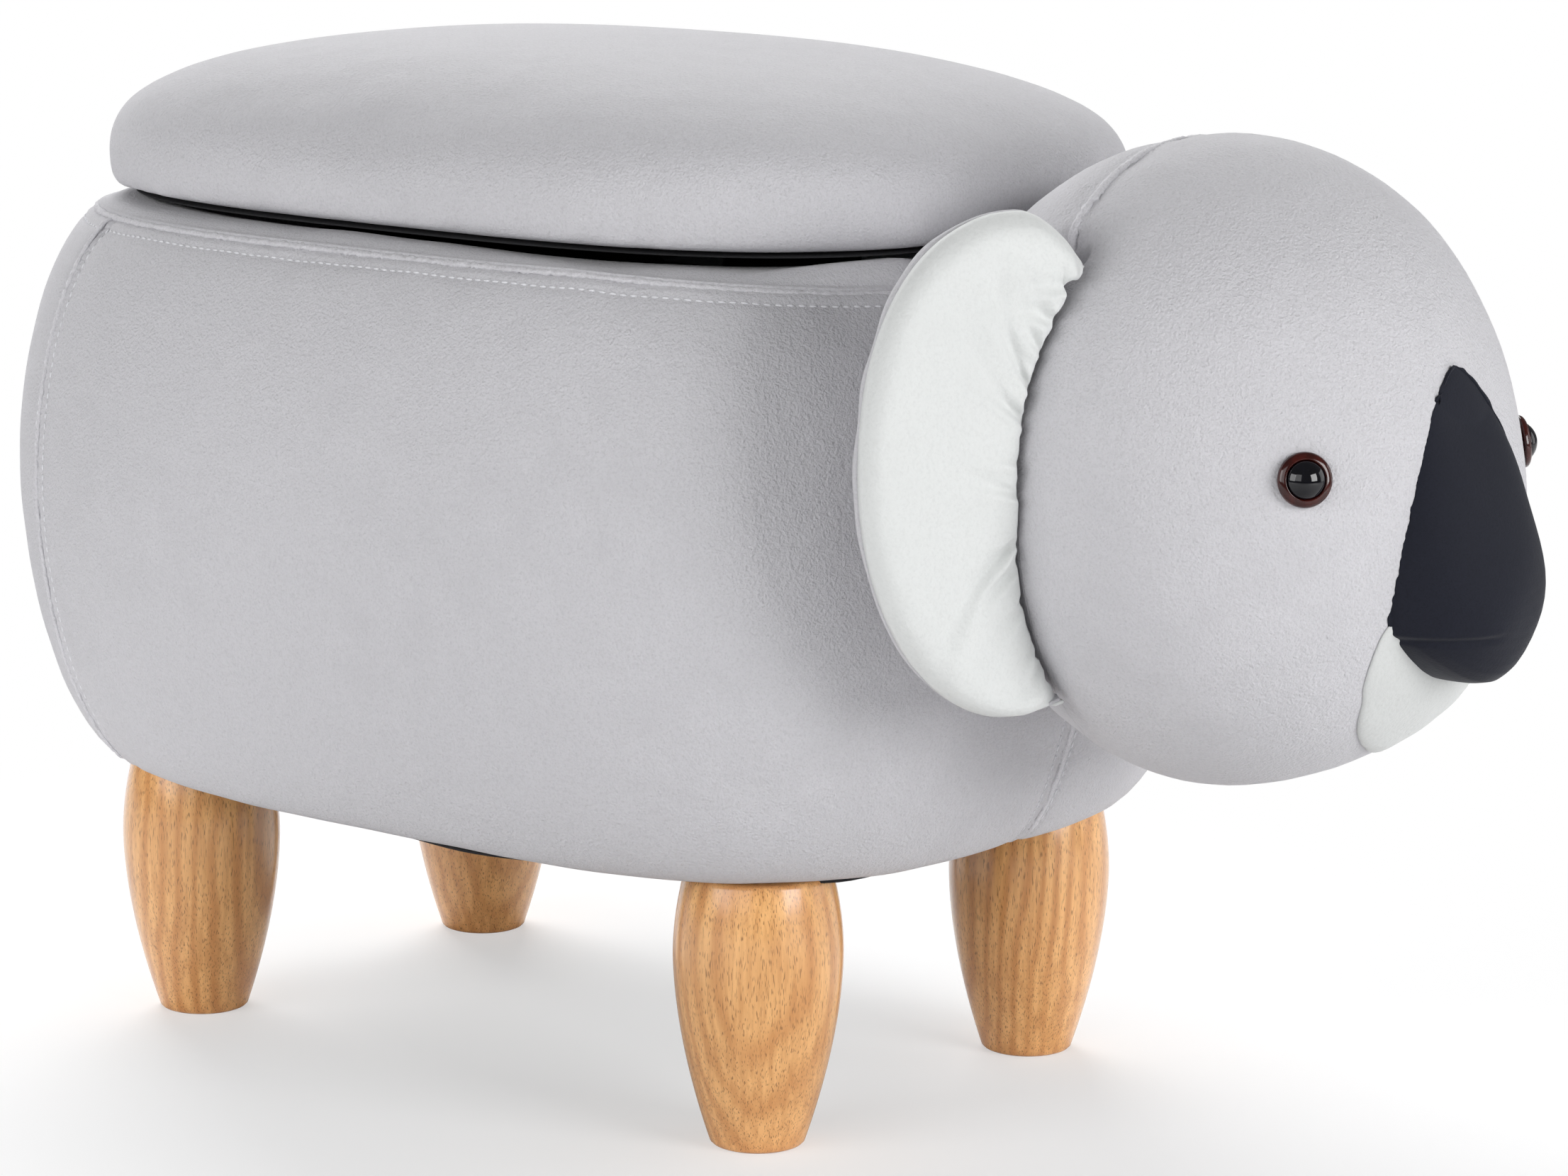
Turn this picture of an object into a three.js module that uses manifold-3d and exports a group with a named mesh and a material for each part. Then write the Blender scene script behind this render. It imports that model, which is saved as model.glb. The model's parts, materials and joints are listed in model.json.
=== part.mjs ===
// Animal footstool: a koala-shaped storage stool with a hinged padded lid.
// Millimetres, +Z up, +X towards the head. The floor is Z = 0 and the origin is
// the middle of the footprint of the whole stool.
import * as THREE from 'three';
import { mergeVertices } from 'three/addons/utils/BufferGeometryUtils.js';
import Module from 'manifold-3d';

const wasm = await Module();
wasm.setup();

// Clearances and cloth
const seat = 0.3;             // air between pieces that rest on each other
const velvet = 1.5;           // grey velvet with its backing
const lining = 1;             // black non-woven cloth
const sewnGap = 0.3;          // between two panels along their seam
const overrun = 6;            // how far a cutter runs past what it cuts
const weld = 1e-4;            // corners closer than this are one corner

// Plan of the body at its bottom edge
const bodyHalfLength = 185;
const bodyHalfWidth = 130;
const ovalPower = 3;          // 2 is an ellipse, higher is squarer
const sideColumns = 12;       // facets along one side panel
const rearColumns = 10;       // facets along the rear panel
const rearSeamAngle = THREE.MathUtils.degToRad(128.2);

// Legs, turned in rubberwood
const legHeight = 97.5;
const legEndInset = 48.5;     // centre of a leg from the end of the body's bottom edge
const legSideInset = 51.5;    // and from its side
const legFootRadius = 16.2;
const legBellyRadius = 30;
const legTopRadius = 25.5;
const legBellyHeight = 68;
const legLowerPower = 1.75;
const legUpperPower = 1.9;
const legFootEdge = 1;
const legColumns = 18;
const legRows = 6;

// Leg fixings
const hangerRadius = 4;
const hangerIntoLeg = 30;
const hangerTipHeight = 6;
const hangerTipRadius = 1.2;
const teeNutBarrelRadius = 5.2;
const teeNutFlangeRadius = 11;
const teeNutFlange = 1.5;
const teeNutBarrel = 10;
const fixingColumns = 10;

// Base and tub
const baseBoardThickness = 15;
const boardInset = 5;         // base board and tub wall inside the bottom edge
const dustCoverInset = 7;
const hemWidth = 13;          // velvet turned in under the base board
const tubWallThickness = 12;
const tubWallHeight = 184.7;

// Padded bulge of the body
const bulgeDepth = 35;
const bulgeCrestShare = 0.5294; // height of the crest, of the body's height
const bulgeLowerPower = 1.8;
const bulgeUpperPower = 1.9;
const seamOffset = 12.4;      // top seam, outside the bottom edge's plan
const rimEdgeOffset = 7;      // rounded edge of the rim
const rimFoam = 1.8;          // thin padding on top of the tub wall
const rimFold = 18;           // velvet turned down inside the tub
const rimCorner = 2.4;        // rounding of the rim's inner edge
const rimRise = 3;            // top seam below the top of the rim
const rimShoulder = 6;        // width of the rim's rounded outer edge
const bulgeRows = 8;

// Lid
const lidOverLength = 6;      // lid past the plan of the bottom edge, at each end
const lidOverWidth = 1.5;     // and at each side
const lidBoardThickness = 12;
const lidBoardInset = 8;
const lidWaistRise = 14;      // widest line above the hem
const lidCrown = 46;          // crown above the widest line
const lidCrownPower = 2.57;
const lidTuck = 5;            // how far the side draws in to the hem
const tuckShares = [0.5, 0.8, 0.95];
const lidHem = 12;
const lidUndersideInset = 9;
const lidColumns = 36;
const lidRows = 5;

// Hinges
const hingeShare = 0.27;      // each hinge from the middle of the body, of its half length
const hingeWidth = 32;
const leafThickness = 1.2;
const leafCorner = 3;
const knuckleRadius = 2.6;
const pinRadius = 1.5;
const pinHead = 1.2;
const pinHeadShares = [0.7, 0.9]; // crown and foot of the pin's head, of the knuckle
const bodyLeafDrop = 34;      // body leaf down the inside of the wall
const lidLeafLength = 40;
const screwSpacing = 18;
const screwRadius = 1.5;
const screwHeadRadius = 3;
const screwHead = 1.3;
const screwCrownShare = 0.6;
const screwLength = 9;
const screwEdge = 6;          // screw axis from the end of its leaf
const axisClearance = 3;      // hinge axis outside the widest part of the lid
const screwColumns = 8;

// Head
const headReach = 90.3;       // middle of the head, in front of the body's bottom edge
const headDrop = 59.5;        // and below the top of the rim
const headRadius = 96;
const headHalfHeight = 108.9;
const headPower = 2.17;
const headTilt = THREE.MathUtils.degToRad(17.5);
const headSeamBack = 21.3;    // seam between face and back of the head, behind its middle
const headColumns = 24;
const headRows = 12;
const headBoardRadius = 55;
const headBoardThickness = 9;
const headBoltRadius = 3;
const headBoltSpacing = 64;
const headBoltHeadRadius = 7;
const headBoltHead = 3.5;
const boltCrownShare = 0.7;

// Ears: flat ovals, half hidden in the head, that lean back
const earHalfWidth = 53.5;
const earHalfHeight = 83;
const earTopPower = 2.2;
const earBottomPower = 1.9;
const earRise = 6.7;          // middle of the ear above the middle of the head
const earLean = THREE.MathUtils.degToRad(32.2);
const earFrontSwell = 10;
const earBackSwell = 11;
const earFrontShares = [[0, 0.45], [0.4, 0.5], [0.72, 0.95], [0.88, 1], [0.97, 0.62], [1, 0.22]];
const earBackShares = [[0, 1], [0.5, 0.93], [0.85, 0.6], [1, 0.2]];
const earColumns = 24;

// Nose and muzzle, from the middle of the head
const noseReach = 117.2;
const noseDepth = 30.5;       // how far the bridge and the lower edge lie behind the tip
const noseTopRise = 40.2;
const noseBottomDrop = 61.8;
const noseHalfWidth = 39;
const noseRootShare = 0.78;   // root of the nose inside the head, of its radius
const noseWidthShares = [
  [0, 0.2], [0.05, 0.72], [0.18, 0.98], [0.36, 0.98], [0.6, 0.86], [0.85, 0.5], [0.97, 0.2], [1, 0.05]];
const noseReachShares = [
  [0, -0.66], [0.03, -0.38], [0.1, -0.12], [0.28, 0], [0.45, -0.1], [0.65, -0.34], [0.85, -0.64], [1, -1]];
const noseColumns = 18;
const noseRows = 9;
const noseSamples = 60;
const muzzleTopDrop = 38.3;
const muzzleBottomDrop = 91.3;
const muzzleHalfWidth = 39.5;
const muzzleCheekShare = 0.75;
const muzzleChinShare = 0.7;
const muzzleColumns = 7;

// Eyes
const eyeSideAngle = THREE.MathUtils.degToRad(42.6);
const eyeDrop = 12.4;         // below the head's middle, along its own axis
const eyeRadius = 9.8;
const eyeRing = 2.4;
const eyeRingEdge = 0.8;
const pupilRadius = 6.8;
const pupilDome = 4.6;
const pupilRows = 3;
const eyeShankRadius = 2.4;
const eyeShankLength = 15;
const eyeWasherRadius = 9;
const eyeWasher = 1.6;
const eyeColumns = 16;
const slopeShare = 0.01;      // step that measures the slope of the face at an eye

// Heights of the stack, from the floor up
const dustCoverBottom = legHeight + seat;
const dustCoverTop = dustCoverBottom + lining;
const hemBottom = dustCoverTop + seat;
const hemTop = hemBottom + velvet;
const baseBottom = hemTop + seat;
const baseTop = baseBottom + baseBoardThickness;
const wallBottom = baseTop + seat;
const wallTop = wallBottom + tubWallHeight;
const rimTop = wallTop + seat + rimFoam + seat + velvet;
const axisHeight = rimTop + seat + knuckleRadius;
const undersideBottom = axisHeight + knuckleRadius + seat;
const undersideTop = undersideBottom + lining;
const lidHemBottom = undersideTop + seat;
const lidHemTop = lidHemBottom + velvet;
const lidBoardBottom = lidHemTop + seat;
const lidBoardTop = lidBoardBottom + lidBoardThickness;
const lidWaist = lidHemBottom + lidWaistRise;
const bulgeCrestHeight = hemBottom + (rimTop - hemBottom) * bulgeCrestShare;

// Places that follow from the body
const lidHalfLength = bodyHalfLength + lidOverLength;
const lidHalfWidth = bodyHalfWidth + lidOverWidth;
const hingeOffset = bodyHalfLength * hingeShare;
const headCentreX = bodyHalfLength + headReach;
const headCentreZ = rimTop - headDrop;
const headSeamX = headCentreX - headSeamBack;
const noseTipX = headCentreX + noseReach;

// Offsets of the nested walls from the plan of the bottom edge
const wallOuter = -boardInset;
const wallInner = wallOuter - tubWallThickness;
const liningOuter = wallInner - seat;
const liningInner = liningOuter - lining;
const foldOuter = liningInner - seat;
const foldInner = foldOuter - velvet;

// The origin is the middle between the rear bulge and the tip of the nose
const middleX = (noseTipX - bodyHalfLength - bulgeDepth) / 2;
const axisY = lidHalfWidth + axisClearance;

// Finishes
const finish = (color, roughness, metalness = 0) =>
  new THREE.MeshStandardMaterial({ color, roughness, metalness });
const greyVelvet = finish(0xb9b9bf, 0.9);
const whitePlush = finish(0xeef0ee, 0.95);
const blackCloth = finish(0x1b1b1f, 0.95);
const noseCloth = finish(0x22232b, 0.85);
const rubberwood = finish(0xd9a86c, 0.4);
const plywood = finish(0xcfae82, 0.75);
const paddingFoam = finish(0xe8e2cf, 0.95);
const fibre = finish(0xf4f4f2, 1);
const zincSteel = finish(0xb4b8bd, 0.35, 0.9);
const irisBrown = finish(0x5a1f17, 0.25);
const pupilBlack = finish(0x08080c, 0.12);
const whitePlastic = finish(0xdddddd, 0.5);

// Turns a grid or a stack of rings into one closed geometry
function closedGeometry(points, triangles) {
  const positions = points.flatMap((p) => [p.x, p.y, p.z]);
  let volume = 0;
  for (const [i, j, k] of triangles) {
    volume += points[i].dot(new THREE.Vector3().crossVectors(points[j], points[k]));
  }
  const faces = volume < 0 ? triangles.map(([i, j, k]) => [i, k, j]) : triangles;
  const geometry = new THREE.BufferGeometry();
  geometry.setAttribute('position', new THREE.Float32BufferAttribute(positions, 3));
  geometry.setIndex(faces.flat());
  geometry.computeVertexNormals();
  return geometry;
}

// Skin over rings of points; a ring of one point is a pole
function skin(rings, closesOnItself = false) {
  const points = rings.flat();
  const starts = [];
  rings.reduce((start, ring) => { starts.push(start); return start + ring.length; }, 0);
  const triangles = [];
  const pairs = rings.length - (closesOnItself ? 0 : 1);
  for (let r = 0; r < pairs; r++) {
    const s = (r + 1) % rings.length;
    const count = Math.max(rings[r].length, rings[s].length);
    for (let k = 0; k < count; k++) {
      const next = (k + 1) % count;
      const low = (c) => starts[r] + (rings[r].length > 1 ? c : 0);
      const high = (c) => starts[s] + (rings[s].length > 1 ? c : 0);
      if (rings[r].length > 1) triangles.push([low(k), low(next), high(next)]);
      if (rings[s].length > 1) triangles.push([low(k), high(next), high(k)]);
    }
  }
  return closedGeometry(points, triangles);
}

// Solid between two grids of points with open side edges
function panelSolid(outer, inner) {
  const rows = outer.length;
  const columns = outer[0].length;
  const points = [...outer.flat(), ...inner.flat()];
  const out = (r, c) => r * columns + c;
  const inn = (r, c) => (rows + r) * columns + c;
  const triangles = [];
  const quad = (a, b, c, d) => triangles.push([a, b, c], [a, c, d]);
  for (let r = 0; r + 1 < rows; r++) {
    for (let c = 0; c + 1 < columns; c++) {
      quad(out(r, c), out(r, c + 1), out(r + 1, c + 1), out(r + 1, c));
      quad(inn(r, c), inn(r + 1, c), inn(r + 1, c + 1), inn(r, c + 1));
    }
    const last = columns - 1;
    quad(out(r, 0), out(r + 1, 0), inn(r + 1, 0), inn(r, 0));
    quad(out(r, last), inn(r, last), inn(r + 1, last), out(r + 1, last));
  }
  for (let c = 0; c + 1 < columns; c++) {
    const top = rows - 1;
    quad(inn(0, c), inn(0, c + 1), out(0, c + 1), out(0, c));
    quad(out(top, c), out(top, c + 1), inn(top, c + 1), inn(top, c));
  }
  return closedGeometry(points, triangles);
}

// Joins and cuts
function toSolid(geometry) {
  const bare = geometry.clone();
  bare.deleteAttribute('normal');
  bare.deleteAttribute('uv');
  const merged = mergeVertices(bare, weld);
  const index = merged.index.array;
  const kept = [];
  for (let i = 0; i < index.length; i += 3) {
    const [a, b, c] = [index[i], index[i + 1], index[i + 2]];
    if (a !== b && b !== c && a !== c) kept.push(a, b, c);
  }
  return new wasm.Manifold(new wasm.Mesh({
    numProp: 3,
    vertProperties: new Float32Array(merged.attributes.position.array),
    triVerts: new Uint32Array(kept),
  }));
}

function toGeometry(solid) {
  const mesh = solid.getMesh();
  const geometry = new THREE.BufferGeometry();
  geometry.setAttribute('position', new THREE.BufferAttribute(mesh.vertProperties, 3));
  geometry.setIndex(new THREE.BufferAttribute(mesh.triVerts, 1));
  geometry.computeVertexNormals();
  return geometry;
}

function cut(geometry, cutters) {
  return toGeometry(cutters.reduce((solid, cutter) => solid.subtract(toSolid(cutter)), toSolid(geometry)));
}

function join(geometries) {
  return toGeometry(geometries.map(toSolid).reduce((whole, solid) => whole.add(solid)));
}

function common(geometry, other) {
  return toGeometry(toSolid(geometry).intersect(toSolid(other)));
}

// Point of the oval plan, with both half axes grown by an offset
function ovalPoint(halfLength, halfWidth, angle, z) {
  const c = Math.cos(angle);
  const s = Math.sin(angle);
  const reach = (Math.abs(c) ** ovalPower + Math.abs(s) ** ovalPower) ** (-1 / ovalPower);
  return new THREE.Vector3(halfLength * reach * c, halfWidth * reach * s, z);
}

// Half length of an oval at a place across its width
function ovalLengthAt(halfLength, halfWidth, y) {
  return halfLength * (1 - Math.abs(y / halfWidth) ** ovalPower) ** (1 / ovalPower);
}

const bodyPoint = (offset, z, angle) => ovalPoint(bodyHalfLength + offset, bodyHalfWidth + offset, angle, z);

const steps = (count, from, to) =>
  Array.from({ length: count + 1 }, (_, i) => from + (to - from) * i / count);

// Column angles that every nested wall of the body shares, so that facets stay parallel
const rightAngles = steps(sideColumns, -rearSeamAngle, 0);
const leftAngles = steps(sideColumns, 0, rearSeamAngle);
const rearAngles = steps(rearColumns, rearSeamAngle, 2 * Math.PI - rearSeamAngle);
const allAngles = [...leftAngles.slice(0, -1), ...rearAngles.slice(0, -1), ...rightAngles.slice(0, -1)];

// Half width of a faceted wall of the body at a place along its length
function facetWidthAt(offset, x) {
  const points = leftAngles.map((a) => bodyPoint(offset, 0, a));
  const after = points.findIndex((p) => p.x <= x);
  const [front, back] = [points[after - 1], points[after]];
  return front.y + (back.y - front.y) * (front.x - x) / (front.x - back.x);
}

// Ring of a closed profile [offset, z] swept round the body's plan
const bodyRing = (loop) => skin(loop.map(([o, z]) => allAngles.map((a) => bodyPoint(o, z, a))), true);

// Solid of a profile [offset, z] closed by poles at its two ends
function bodyPlate(loop) {
  const first = new THREE.Vector3(0, 0, loop[0][1]);
  const last = new THREE.Vector3(0, 0, loop[loop.length - 1][1]);
  return skin([[first], ...loop.map(([o, z]) => allAngles.map((a) => bodyPoint(o, z, a))), [last]]);
}

// Profile moved inwards by a distance, square to itself
function insetProfile(profile, distance) {
  return profile.map(([offset, z], i) => {
    const before = profile[Math.max(i - 1, 0)];
    const after = profile[Math.min(i + 1, profile.length - 1)];
    const along = new THREE.Vector2(after[0] - before[0], after[1] - before[1]).normalize();
    return [offset - along.y * distance, z + along.x * distance];
  });
}

// Turned piece: a profile of [radius, z] round the Z axis
function turned(profile, columns) {
  const geometry = new THREE.LatheGeometry(profile.map(([r, z]) => new THREE.Vector2(r, z)), columns);
  geometry.rotateX(Math.PI / 2);
  return geometry;
}

// Round bar along Z between two heights
function bar(radius, from, to, columns = fixingColumns) {
  const geometry = new THREE.CylinderGeometry(radius, radius, to - from, columns);
  geometry.rotateX(Math.PI / 2);
  geometry.translate(0, 0, (from + to) / 2);
  return geometry;
}

function block(fromX, toX, fromY, toY, fromZ, toZ) {
  const geometry = new THREE.BoxGeometry(toX - fromX, toY - fromY, toZ - fromZ);
  geometry.translate((fromX + toX) / 2, (fromY + toY) / 2, (fromZ + toZ) / 2);
  return geometry;
}

const placed = (geometry, x, y, z) => geometry.clone().translate(x, y, z);
const mirrored = (geometry) => {
  const copy = geometry.clone().scale(1, -1, 1);
  const index = Array.from(copy.index.array);
  for (let i = 0; i < index.length; i += 3) [index[i + 1], index[i + 2]] = [index[i + 2], index[i + 1]];
  copy.setIndex(index);
  copy.computeVertexNormals();
  return copy;
};

// The stool, shifted so that its origin is the middle of its footprint
const stool = new THREE.Group();
const model = new THREE.Group();
model.position.x = -middleX;
stool.add(model);

function add(name, geometry, material, parent = model) {
  const mesh = new THREE.Mesh(geometry, material);
  mesh.name = name;
  parent.add(mesh);
  return mesh;
}

// Legs with their hanger bolts and tee nuts
const legPlaces = {
  rear_right: [-1, -1],
  front_right: [1, -1],
  front_left: [1, 1],
  rear_left: [-1, 1],
};

function legProfile() {
  const lower = steps(legRows, legFootEdge, legBellyHeight).map((z) => [
    legBellyRadius - (legBellyRadius - legFootRadius) * (1 - z / legBellyHeight) ** legLowerPower, z]);
  const upper = steps(Math.floor(legRows / 2), legBellyHeight, legHeight).slice(1).map((z) => [
    legBellyRadius - (legBellyRadius - legTopRadius)
      * ((z - legBellyHeight) / (legHeight - legBellyHeight)) ** legUpperPower, z]);
  const bore = hangerRadius + seat;
  const boreFloor = legHeight - hangerIntoLeg - seat;
  return [[0, 0], [legFootRadius - legFootEdge, 0], ...lower, ...upper,
    [bore, legHeight], [bore, boreFloor], [0, boreFloor]];
}

const legGeometry = turned(legProfile(), legColumns);
const hangerTop = baseTop - teeNutFlange - seat;
const hangerGeometry = turned([
  [0, legHeight - hangerIntoLeg],
  [hangerTipRadius, legHeight - hangerIntoLeg],
  [hangerRadius, legHeight - hangerIntoLeg + hangerTipHeight],
  [hangerRadius, hangerTop],
  [0, hangerTop],
], fixingColumns);
const teeNutGeometry = turned([
  [hangerRadius + seat, baseTop - teeNutBarrel],
  [teeNutBarrelRadius, baseTop - teeNutBarrel],
  [teeNutBarrelRadius, baseTop - teeNutFlange],
  [teeNutFlangeRadius, baseTop - teeNutFlange],
  [teeNutFlangeRadius, baseTop],
  [hangerRadius + seat, baseTop],
  [hangerRadius + seat, baseTop - teeNutBarrel],
], fixingColumns);

const legCentres = Object.entries(legPlaces).map(([name, [sideX, sideY]]) =>
  ({ name, x: sideX * (bodyHalfLength - legEndInset), y: sideY * (bodyHalfWidth - legSideInset) }));
for (const { name, x, y } of legCentres) {
  add(`leg_${name}`, placed(legGeometry, x, y, 0), rubberwood);
  add(`hanger_bolt_${name}`, placed(hangerGeometry, x, y, 0), zincSteel);
  add(`tee_nut_${name}`, placed(teeNutGeometry, x, y, 0), zincSteel);
}

// Base board with a stepped hole for each tee nut
const legHoles = legCentres.flatMap(({ x, y }) => [
  placed(bar(teeNutBarrelRadius + seat, baseBottom - overrun, baseTop + overrun), x, y, 0),
  placed(bar(teeNutFlangeRadius + seat, baseTop - teeNutFlange - seat, baseTop + overrun), x, y, 0),
]);
add('base_board', cut(bodyPlate([[wallOuter, baseBottom], [wallOuter, baseTop]]), legHoles), plywood);

const boltHoles = legCentres.map(({ x, y }) =>
  placed(bar(hangerRadius + seat, dustCoverBottom - overrun, dustCoverTop + overrun), x, y, 0));
add('dust_cover', cut(bodyPlate([
  [-dustCoverInset, dustCoverBottom], [-dustCoverInset, dustCoverTop]]), boltHoles), blackCloth);

// Fixings that go through the tub: bolts of the head and screws of the hinges
const headFaceX = bodyHalfLength + bulgeDepth + seat;
const boltHeadX = ovalLengthAt(bodyHalfLength + liningInner, bodyHalfWidth + liningInner,
  headBoltSpacing / 2 + headBoltHeadRadius) - seat;
const boltEndX = headFaceX + headBoardThickness;
const alongX = (geometry) => geometry.rotateY(Math.PI / 2);
const boltSides = { right: -headBoltSpacing / 2, left: headBoltSpacing / 2 };
const headBoltCutters = Object.values(boltSides).map((y) =>
  placed(alongX(bar(headBoltRadius + seat, boltHeadX - overrun, boltEndX + overrun)), 0, y, headCentreZ));

const leafInnerY = facetWidthAt(foldInner, hingeOffset + hingeWidth / 2) - seat - leafThickness;
const bodyLeafBottom = axisHeight - bodyLeafDrop;
const bodyScrewZ = bodyLeafBottom + screwEdge;
const lidScrewY = axisY - lidLeafLength + screwEdge;
const hingeCentres = { rear: -hingeOffset, front: hingeOffset };
const screwPlaces = Object.entries(hingeCentres).flatMap(([end, x]) => [
  { name: `${end}_a`, x: x - screwSpacing / 2 },
  { name: `${end}_b`, x: x + screwSpacing / 2 },
]);
const bodyScrewCutters = screwPlaces.map(({ x }) => {
  const hole = bar(screwRadius + seat, 0, screwLength + seat, screwColumns);
  return placed(hole.rotateX(-Math.PI / 2), x, leafInnerY, bodyScrewZ);
});
const lidScrewCutters = screwPlaces.map(({ x }) =>
  placed(bar(screwRadius + seat, undersideBottom - overrun,
    undersideBottom - leafThickness - seat + screwLength + seat, screwColumns), x, lidScrewY, 0));

// Tub wall and its lining
add('tub_wall', cut(bodyRing([
  [wallOuter, wallBottom], [wallOuter, wallTop], [wallInner, wallTop], [wallInner, wallBottom],
]), [...headBoltCutters, ...bodyScrewCutters]), plywood);
add('tub_lining', cut(bodyPlate([
  [liningOuter, baseTop + seat],
  [liningOuter, wallTop],
  [liningInner, wallTop],
  [liningInner, baseTop + seat + lining],
]), [...headBoltCutters, ...bodyScrewCutters]), blackCloth);

// Outline of the padded body, from the bottom edge up to the top seam
function bulgeProfile() {
  const lowerReach = bulgeCrestHeight - hemBottom;
  const seamShare = (1 - (seamOffset / bulgeDepth) ** bulgeUpperPower) ** (1 / bulgeUpperPower);
  const seamHeight = rimTop - rimRise;
  const upperReach = (seamHeight - bulgeCrestHeight) / seamShare;
  const lower = steps(bulgeRows / 2, -Math.PI / 2, 0).map((turn) => [
    bulgeDepth * Math.cos(turn) ** (2 / bulgeLowerPower),
    bulgeCrestHeight - lowerReach * Math.abs(Math.sin(turn)) ** (2 / bulgeLowerPower)]);
  const seamTurn = Math.asin(seamShare ** (bulgeUpperPower / 2));
  const upper = steps(bulgeRows / 2, 0, seamTurn).slice(1).map((turn) => [
    bulgeDepth * Math.cos(turn) ** (2 / bulgeUpperPower),
    bulgeCrestHeight + upperReach * Math.sin(turn) ** (2 / bulgeUpperPower)]);
  return [...lower, ...upper];
}

// Rim: from the top seam over the padded edge, in to the tub and down inside it
const rimProfile = [
  [seamOffset, rimTop - rimRise],
  [rimEdgeOffset + (seamOffset - rimEdgeOffset) / 2, rimTop - rimRise / 3],
  [rimEdgeOffset - rimShoulder / 2, rimTop],
  [foldInner + rimCorner, rimTop],
  [foldInner, rimTop - rimCorner],
  [foldInner, rimTop - rimFold],
];
const bulge = bulgeProfile();
const coverOuter = [[-hemWidth, hemBottom], ...bulge, ...rimProfile.slice(1)];
const coverInner = insetProfile(coverOuter, velvet);
const seamIndex = bulge.length;

function sidePanel(angles) {
  // each end is drawn back by half the seam gap
  const shift = sewnGap / 2 / (bodyHalfWidth + bulgeDepth);
  const trimmed = angles.map((a, i) => {
    if (i === 0) return a + shift;
    return i === angles.length - 1 ? a - shift : a;
  });
  const grid = (profile) => profile.map(([o, z]) => trimmed.map((a) => bodyPoint(o, z, a)));
  const upToSeam = (profile) => profile.slice(0, seamIndex + 1).map(([o, z], i) =>
    (i === seamIndex ? [o, z - sewnGap] : [o, z]));
  return panelSolid(grid(upToSeam(coverOuter)), grid(upToSeam(coverInner)));
}
add('side_panel_right', cut(sidePanel(rightAngles), headBoltCutters), greyVelvet);
add('side_panel_left', cut(sidePanel(leftAngles), headBoltCutters), greyVelvet);
add('rear_panel', sidePanel(rearAngles), greyVelvet);

add('rim_band', bodyRing([
  ...coverOuter.slice(seamIndex), ...coverInner.slice(seamIndex).reverse()]), greyVelvet);

// Foam wrapped round the tub, level with a thin strip on top of the wall
const foamOuter = insetProfile(coverOuter.slice(0, seamIndex + 3), velvet + seat);
const foamTop = rimTop - velvet - seat;
const foamLoop = [
  [wallOuter + seat, baseBottom],
  ...foamOuter.slice(2),
  [wallOuter + seat, foamTop],
];
add('body_foam', cut(bodyRing(foamLoop), headBoltCutters), paddingFoam);
add('rim_foam', bodyRing([
  [wallOuter, wallTop + seat], [wallOuter, foamTop], [wallInner, foamTop], [wallInner, wallTop + seat],
]), paddingFoam);

// The body as one solid, grown by a clearance, to cut the head to its seat
const bodyEnvelope = (grow) => bodyPlate([
  ...insetProfile([...bulge, ...rimProfile.slice(1, 3)], -grow),
]);

// Lid: cover, foam, board and underside
const lidRing = (inset, z) => Array.from({ length: lidColumns }, (_, i) =>
  ovalPoint(lidHalfLength - inset, lidHalfWidth - inset, 2 * Math.PI * i / lidColumns, z));
const lidPole = (z) => [new THREE.Vector3(0, 0, z)];

function lidCrownRings(inset) {
  const height = lidCrown - inset;
  return steps(lidRows, 0, Math.PI / 2).slice(0, -1).map((turn) => {
    const share = Math.cos(turn) ** (2 / lidCrownPower);
    const z = lidWaist + height * Math.sin(turn) ** (2 / lidCrownPower);
    return lidRing(0, z).map((p) => new THREE.Vector3(
      p.x * share * (1 - inset / lidHalfLength), p.y * share * (1 - inset / lidHalfWidth), z));
  });
}

// Side of the lid, drawn in from the widest line to the hem
const tuckAt = (share) => lidTuck * (1 - Math.sqrt(1 - share * share));
const lidSide = (inset, floor) => tuckShares.map((share) =>
  lidRing(inset + tuckAt(share), Math.max(lidWaist - lidWaistRise * share, floor)));
const lidShell = [
  lidPole(lidWaist + lidCrown - velvet),
  ...lidCrownRings(velvet).reverse(),
  ...lidSide(velvet, lidHemTop),
  lidRing(lidTuck + velvet, lidHemTop),
  lidRing(lidTuck + lidHem, lidHemTop),
  lidRing(lidTuck + lidHem, lidHemBottom),
  lidRing(lidTuck, lidHemBottom),
  ...lidSide(0, lidHemBottom).reverse(),
  ...lidCrownRings(0),
  lidPole(lidWaist + lidCrown),
];
add('lid_cover', skin(lidShell), greyVelvet);

const foamSkin = velvet + seat;
add('lid_foam', skin([
  lidPole(lidBoardTop + seat),
  lidRing(lidBoardInset - seat, lidBoardTop + seat),
  lidRing(lidBoardInset - seat, lidBoardBottom),
  ...lidSide(foamSkin, lidBoardBottom).reverse(),
  ...lidCrownRings(foamSkin),
  lidPole(lidWaist + lidCrown - foamSkin),
]), paddingFoam);

const lidPlate = (inset, from, to) =>
  skin([lidPole(from), lidRing(inset, from), lidRing(inset, to), lidPole(to)]);
add('lid_board', cut(lidPlate(lidBoardInset, lidBoardBottom, lidBoardTop), lidScrewCutters), plywood);
add('lid_underside', cut(
  lidPlate(lidUndersideInset, undersideBottom, undersideTop), lidScrewCutters), blackCloth);

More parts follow.
